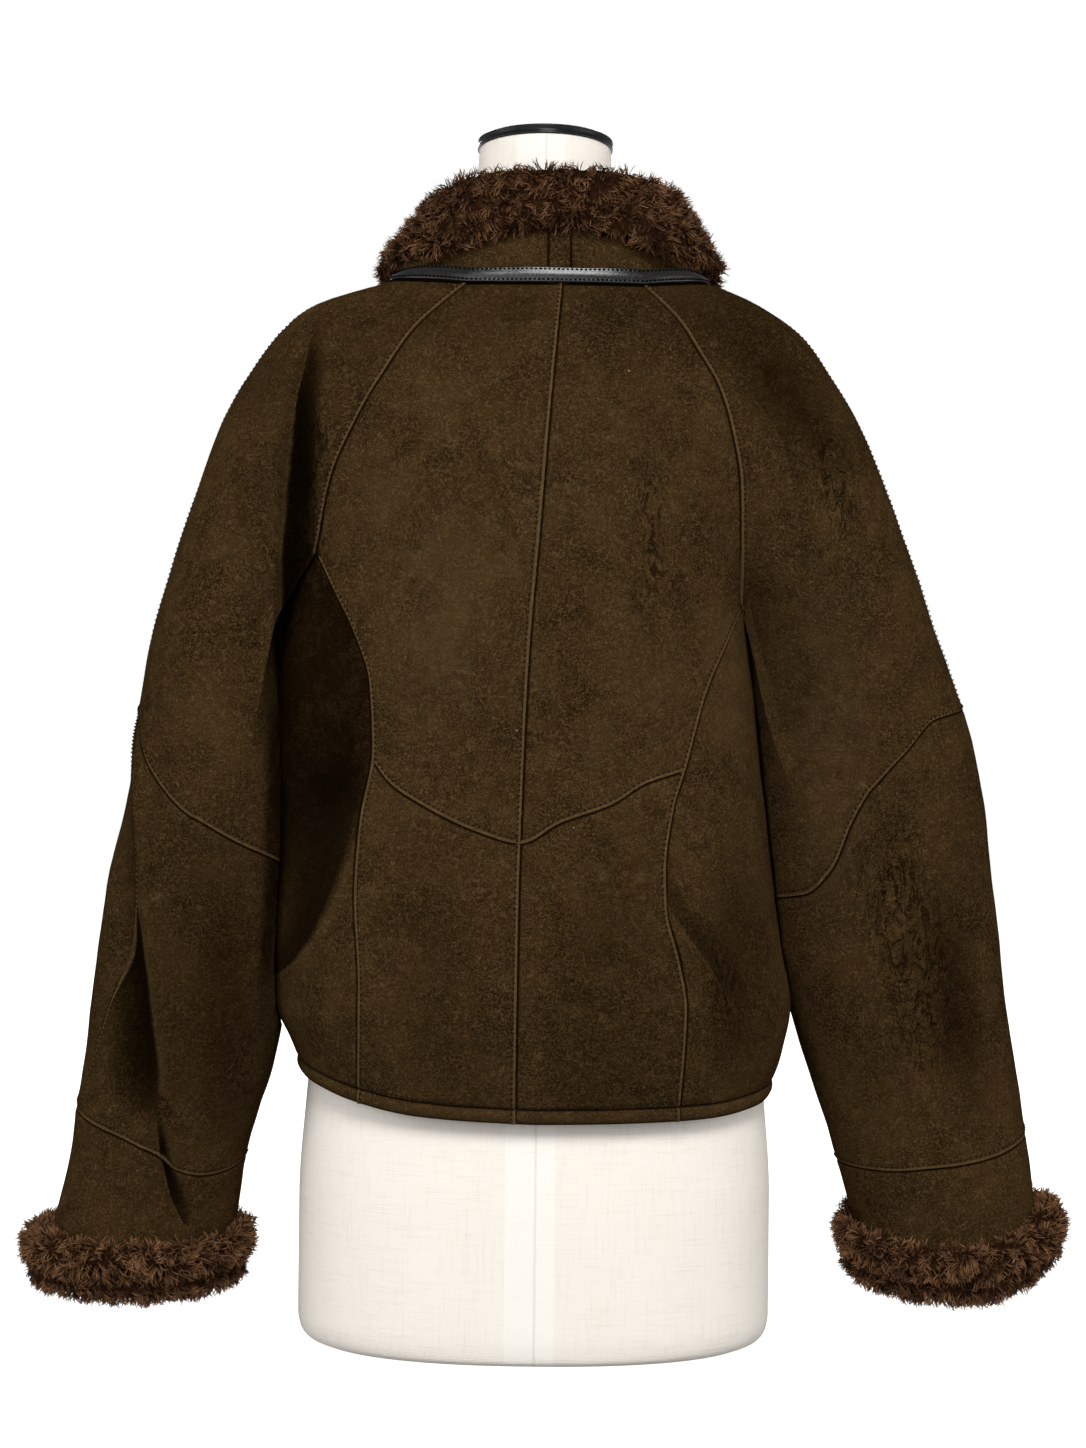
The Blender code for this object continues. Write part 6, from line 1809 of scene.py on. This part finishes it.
# ---------------------------------------------------------------- strap, buttons, form
STRAP_STEP = 2.0  # between its sections
STRAP_SECTION = (  # up the strap, and out from the collar
    (0, 0), (-0.03, 0.45), (0.0, 0.85), (0.06, 1.02), (0.14, 0.92), (0.3, 1.16), (0.5, 1.28), (0.7, 1.16),
    (0.86, 0.92), (0.94, 1.02), (1.0, 0.85), (1.03, 0.45), (1.0, 0),
)
STRAP_STITCHED = (4, 8)  # the places of that section that its stitches run on
BUTTON_SIDES = 48
HOLE_RADIUS = 1.0
HOLE_PLACES = ((1.9, 1.9), (-1.9, 1.9), (-1.9, -1.9), (1.9, -1.9))
THREAD_PAST, THREAD_WIDE = 1.8, 0.9
FORM_SIDES = 128
FORM_BASE = [0, 1, 2, 3, 4.5, 6, 9, 12, 16, 20]  # levels up its rounded lower edge
RING_SECTION = (  # up from the form's top, and out from its edge
    (SEAM_GAP, 0.2), (SEAM_GAP + 0.5, CAP_OVER - 0.1), (1.8, CAP_OVER), (2.4, CAP_OVER - 0.5),
    (CAP_HIGH - 2.6, CAP_OVER - 0.5), (CAP_HIGH - 2.0, CAP_OVER), (CAP_HIGH - 0.6, CAP_OVER - 0.2),
    (CAP_HIGH, CAP_OVER - 1.2), (CAP_HIGH, -3.0), (CAP_HIGH - 1.5, -4.5),
)


def strap(collar):
    """The glossy strap on the collar seam, with rounded edges, and its stitches."""
    behind = np.flatnonzero(collar.line[:, 1] > STRAP_HIGH)
    line, crest, normals = (rows[behind] for rows in (collar.line, collar.crest, collar.normals))
    reach = reach_along(line)
    fine = np.arange(0, reach[-1], STRAP_STEP)
    line, crest, normals = (read_along(fine, reach, rows) for rows in (line, crest, normals))
    up = unit(crest - line)
    from_end = np.minimum(fine, fine[-1] - fine)
    high = STRAP_HIGH * (0.3 + 0.7 * smooth((from_end / 34 + 0.3) / 1.4))
    high *= 1 + 0.02 * np.sin(fine / 11)
    rings = []
    for i in range(len(fine)):
        lift = 0.25 * math.sin(fine[i] / 17 + 0.6)
        ring = []
        for a, b in STRAP_SECTION:
            off = STRAP_OFF + lift * (b > 0) + STRAP_THICK * b
            ring.append(line[i] + up[i] * (1 + high[i] * a) + normals[i] * off)
        rings.append(ring)
    rings = np.array(rings)
    faces = loft_faces(len(rings), len(STRAP_SECTION), False)
    item = new_object("collar_strap_leather", rings, faces, [LEATHER], sharp_over=60)
    placed(item, "strap_leather", "collar_strap")
    rows = [(rings[:, k] + normals * 0.12, normals) for k in STRAP_STITCHED]
    stitched("collar_strap_stitches", BLACK_THREAD, rows, 3.4, 2.3, 1.3, 0.5, slot="strap_leather")


def button_mesh(number, back, normal):
    """A horn button with a dished middle and four holes, sewn on with crossed thread."""
    rim, dish = BUTTON_RADIUS - BUTTON_RIM, BUTTON_THICK - BUTTON_DISH
    profile = (
        (0.0, BUTTON_RADIUS - 1.2), (0.4, BUTTON_RADIUS - 0.4), (1.2, BUTTON_RADIUS),
        (3.2, BUTTON_RADIUS), (3.9, BUTTON_RADIUS - 0.4),
        (BUTTON_THICK, BUTTON_RADIUS - 1.3),
        (BUTTON_THICK, rim + 0.6),
        (BUTTON_THICK - 0.4, rim - 0.2),
        (dish + 0.2, rim - BUTTON_DISH),
        (dish, rim - BUTTON_DISH - 1),
    )
    side = np.array([1.0, 0.0, 0.0])
    side = unit(side - normal * (side @ normal))
    other = np.cross(normal, side)
    turn = 2 * math.pi * np.arange(BUTTON_SIDES)[:, None] / BUTTON_SIDES
    around = side * np.cos(turn) + other * np.sin(turn)
    rings = [back + normal * raised + around * radius for raised, radius in profile]
    faces = loft_faces(len(rings), BUTTON_SIDES, False)
    item = new_object(f"button_{number}_horn", np.concatenate(rings), faces, [HORN], sharp_over=40)
    narrow = around[::4] * HOLE_RADIUS
    places = [side * x + other * y for x, y in HOLE_PLACES]
    drill, drill_faces = [], []
    for k, place in enumerate(places):
        drill += [back + place + normal * up + narrow for up in (-2.0, 8.0)]
        start = 2 * len(narrow) * k
        drill_faces += [[start + i for i in face] for face in loft_faces(2, len(narrow), False)]
    drills = new_object("drills", np.concatenate(drill), drill_faces, [])
    cut = item.modifiers.new("holes", "BOOLEAN")
    cut.operation, cut.object, cut.solver = "DIFFERENCE", drills, "EXACT"
    holed = with_modifiers(item)
    item.modifiers.clear()
    item.data = holed
    bpy.data.objects.remove(drills)
    placed(item, "horn", f"button_{number}")
    top = back + normal * (dish + 0.15)
    return [(top, places[0] - places[2], normal), (top, places[1] - places[3], normal)]


def form_rings(steps, sides):
    angle = np.linspace(0, 2 * math.pi, sides + 1)[:-1]
    rings = []
    for height in steps:
        row = {column: float(FORM.read(column, height)) for column in FORM.columns}
        depth = np.where(np.cos(angle) >= 0, row["back"], row["front"])
        x = row["half"] * signed_power(np.sin(angle), 2 / row["power"])
        y = row["middle"] + depth * signed_power(np.cos(angle), 2 / row["power"])
        rings.append(joined(x, y, np.full(sides, height)))
    rings = np.array(rings)
    rings[-1][:, 2] += (rings[-1][:, 1] - NECK_MIDDLE) * math.tan(CAP_TILT)
    return rings


def lathe(name, rings, finish, sharp_over):
    faces = loft_faces(len(rings), rings.shape[1], False)
    return new_object(name, rings, faces, [finish], sharp_over=sharp_over)


def form():
    base, body, neck = FORM_BASE, np.arange(28, 780, 8), np.arange(782, 900, 3)
    rings = form_rings(np.concatenate([base, body, neck, [915.5]]), FORM_SIDES)
    placed(lathe("form_cover", rings, LINEN, 60), "form_linen", "dress_form")
    top = rings[-1]
    way_out = unit((top - (0, NECK_MIDDLE, 0)) * (1, 1, 0))
    rings = np.array([top + (0, 0, up) + way_out * over for up, over in RING_SECTION])
    placed(lathe("neck_ring", rings, RING, 50), "black_ring", "neck_cap")


# ---------------------------------------------------------------- studio (m)
SKY_LIGHT = 0.3
FLOOR_HALF, FLOOR_AT = 6, -0.0005
LAMPS_AIM = Vector((0, 0, 0.5))
SOFTBOXES = (  # place, size and watts
    ((-0.2, 2.4, 2.2), 1.0, 78.0),
    ((1.2, 2.6, 1.2), 1.4, 12.0),
    ((0.2, 3.2, 0.5), 1.0, 8.0),
    ((2.6, 0.9, 0.8), 1.6, 23.0),
    ((-2.6, 0.9, 0.8), 1.6, 23.0),
    ((0.4, -3.0, 1.5), 1.6, 60.0),
)
CAMERA_LENS = 76.25
CAMERA_PLACE = (-0.003, 2.37, 0.471)
CAMERA_TURNS = ((180, "Z"), (90, "X"), (0.6, "Z"))


def studio():
    world = bpy.data.worlds.new("studio")
    bpy.context.scene.world = world
    world.use_nodes = True
    nodes, links = world.node_tree.nodes, world.node_tree.links
    sky, white = nodes["Background"], nodes.new("ShaderNodeBackground")
    paths, both = nodes.new("ShaderNodeLightPath"), nodes.new("ShaderNodeMixShader")
    for shade, strength in ((sky, SKY_LIGHT), (white, 1.0)):
        shade.inputs["Color"].default_value = (1, 1, 1, 1)
        shade.inputs["Strength"].default_value = strength
    links.new(paths.outputs["Is Camera Ray"], both.inputs[0])
    links.new(sky.outputs[0], both.inputs[1])
    links.new(white.outputs[0], both.inputs[2])
    links.new(both.outputs[0], nodes["World Output"].inputs["Surface"])

    mesh = bpy.data.meshes.new("floor")
    corners = ((-1, -1), (1, -1), (1, 1), (-1, 1))
    mesh.from_pydata([(x * FLOOR_HALF, y * FLOOR_HALF, FLOOR_AT) for x, y in corners], [], [(0, 1, 2, 3)])
    floor = linked("floor", mesh)
    glow = {"Emission_Color": (1, 1, 1, 1), "Emission_Strength": 1.0}
    mesh.materials.append(Finish("floor_white", (0.5, 0.5, 0.5), 0.9, **glow).material)
    floor.visible_diffuse = False

    for place, size, power in SOFTBOXES:
        light = bpy.data.lights.new("softbox", "AREA")
        light.energy, light.size = power, size
        lamp = linked("softbox", light)
        lamp.location = place
        lamp.rotation_euler = (LAMPS_AIM - Vector(place)).to_track_quat("-Z", "Y").to_euler()

    camera = linked("camera", bpy.data.cameras.new("camera"))
    camera.data.lens, camera.data.sensor_width = CAMERA_LENS, 36.0
    turn = Matrix.Identity(4)
    for degrees, axis in CAMERA_TURNS:
        turn = turn @ Matrix.Rotation(math.radians(degrees), 4, axis)
    camera.matrix_world = Matrix.Translation(CAMERA_PLACE) @ turn
    bpy.context.scene.camera = camera
    bpy.context.scene.view_settings.view_transform = "Standard"


# ---------------------------------------------------------------- making
STITCH = stitch_shape()
LOCKS = [lock_shape(number) for number in range(3)]
NEAR = 3  # the row of the fine grids, from a seam, that the stitches run on
FRONT_COLUMN = 5  # and the column by a front's edge
EVERY = slice(None)


def line_of(skin, *place):
    """The points and normals of one row or column of a panel."""
    points, normals = skin
    return points[place], normals[place]


def body_seams(arm):
    """One side's body panels: their stitched lines."""
    upper, lower = back_panels(arm)
    side, front = side_panel(arm), front_panel(arm)
    below = upper[0][:, -1, 2] < arm.split
    seams = [line_of(upper, EVERY, NEAR), line_of(lower, EVERY, NEAR)] if arm.hand > 0 else []
    seams += [line_of(upper, -1 - NEAR), line_of(upper, below, -1 - NEAR), line_of(lower, EVERY, -1 - NEAR)]
    seams += [line_of(panel, -1 - HEM_ROW) for panel in (lower, side, front)]
    return seams + [line_of(front, EVERY, FRONT_COLUMN)]


def sleeve_seams(arm):
    """A sleeve with its cuff and the cuff's fur: their stitched lines."""
    seams, ends = [], {}
    for face in (1, -1):
        sleeve, cap, hole = upper_sleeve(arm, face)
        seams += [line_of(sleeve, -1 - NEAR), line_of(sleeve, slice(hole), cap - 1 - NEAR)]
        forearm, ends[face] = lower_sleeve(arm, face)
        seams.append(line_of(forearm, -1 - NEAR))
        if face > 0:
            seams += [line_of(forearm, EVERY, NEAR), line_of(sleeve, EVERY, NEAR)]
    cuff_band(arm, np.concatenate([ends[1], ends[-1][-2:0:-1]]))
    fur(f"cuff_fur_{arm.side}", "shearling_fur", cuff_roots(arm), closed=True, shown=(0.02, 0.86),
        count=18500, long=9.6, wide=1.05, bright=0.12, seed=11 + arm.hand, crease=(0.45, 0.075))
    return seams


seams, necks = [], []
for hand in (1, -1):
    arm = Arm(hand)
    seams += body_seams(arm) + sleeve_seams(arm)
    necks.append(neck_line(arm))

collar = Collar(np.concatenate([necks[1][::-1], necks[0]]))
middle, end = len(necks[1]) - 1, len(necks[1]) + len(necks[0]) - 1
collar.stand("collar_stand_right", 0, middle)
collar.stand("collar_tab", middle, middle + 1)
collar.stand("collar_stand_left", middle + 1, end)
fur("collar_fur", "shearling_fur", collar.roots(), closed=False, shown=(0.04, 0.66),
    count=38000, long=9.2, wide=0.95, bright=-0.31, seed=7)
strap(collar)
stitched("seam_stitches", DARK_THREAD, seams, pitch=4.1, long=2.1, wide=1.5)

threads = []
for number in range(1, 6):
    low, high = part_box(f"button_{number}")
    x, z = np.array(0.0), np.array((low.z + high.z) / 2 / MM)
    inside = np.array([0.0, 0.0, z - BELOW_NORMALS])
    normal = normals_of(lambda a, b: torso_point(a, b, -1), x, z, 2.0, 8.0, inside)
    back = torso_point(x, z, -1) + normal * (LAP_RISE + BUTTON_OFF)
    threads += button_mesh(number, back, normal)
at, ends, ways = (np.array([thread[k] for thread in threads]) for k in range(3))
longs, wides = np.linalg.norm(ends, axis=-1) + THREAD_PAST, np.full(len(ends), THREAD_WIDE)
strewn("button_threads", STITCH, PALE_THREAD, "horn", at, ends, ways, joined(longs, wides, wides))
form()
studio()
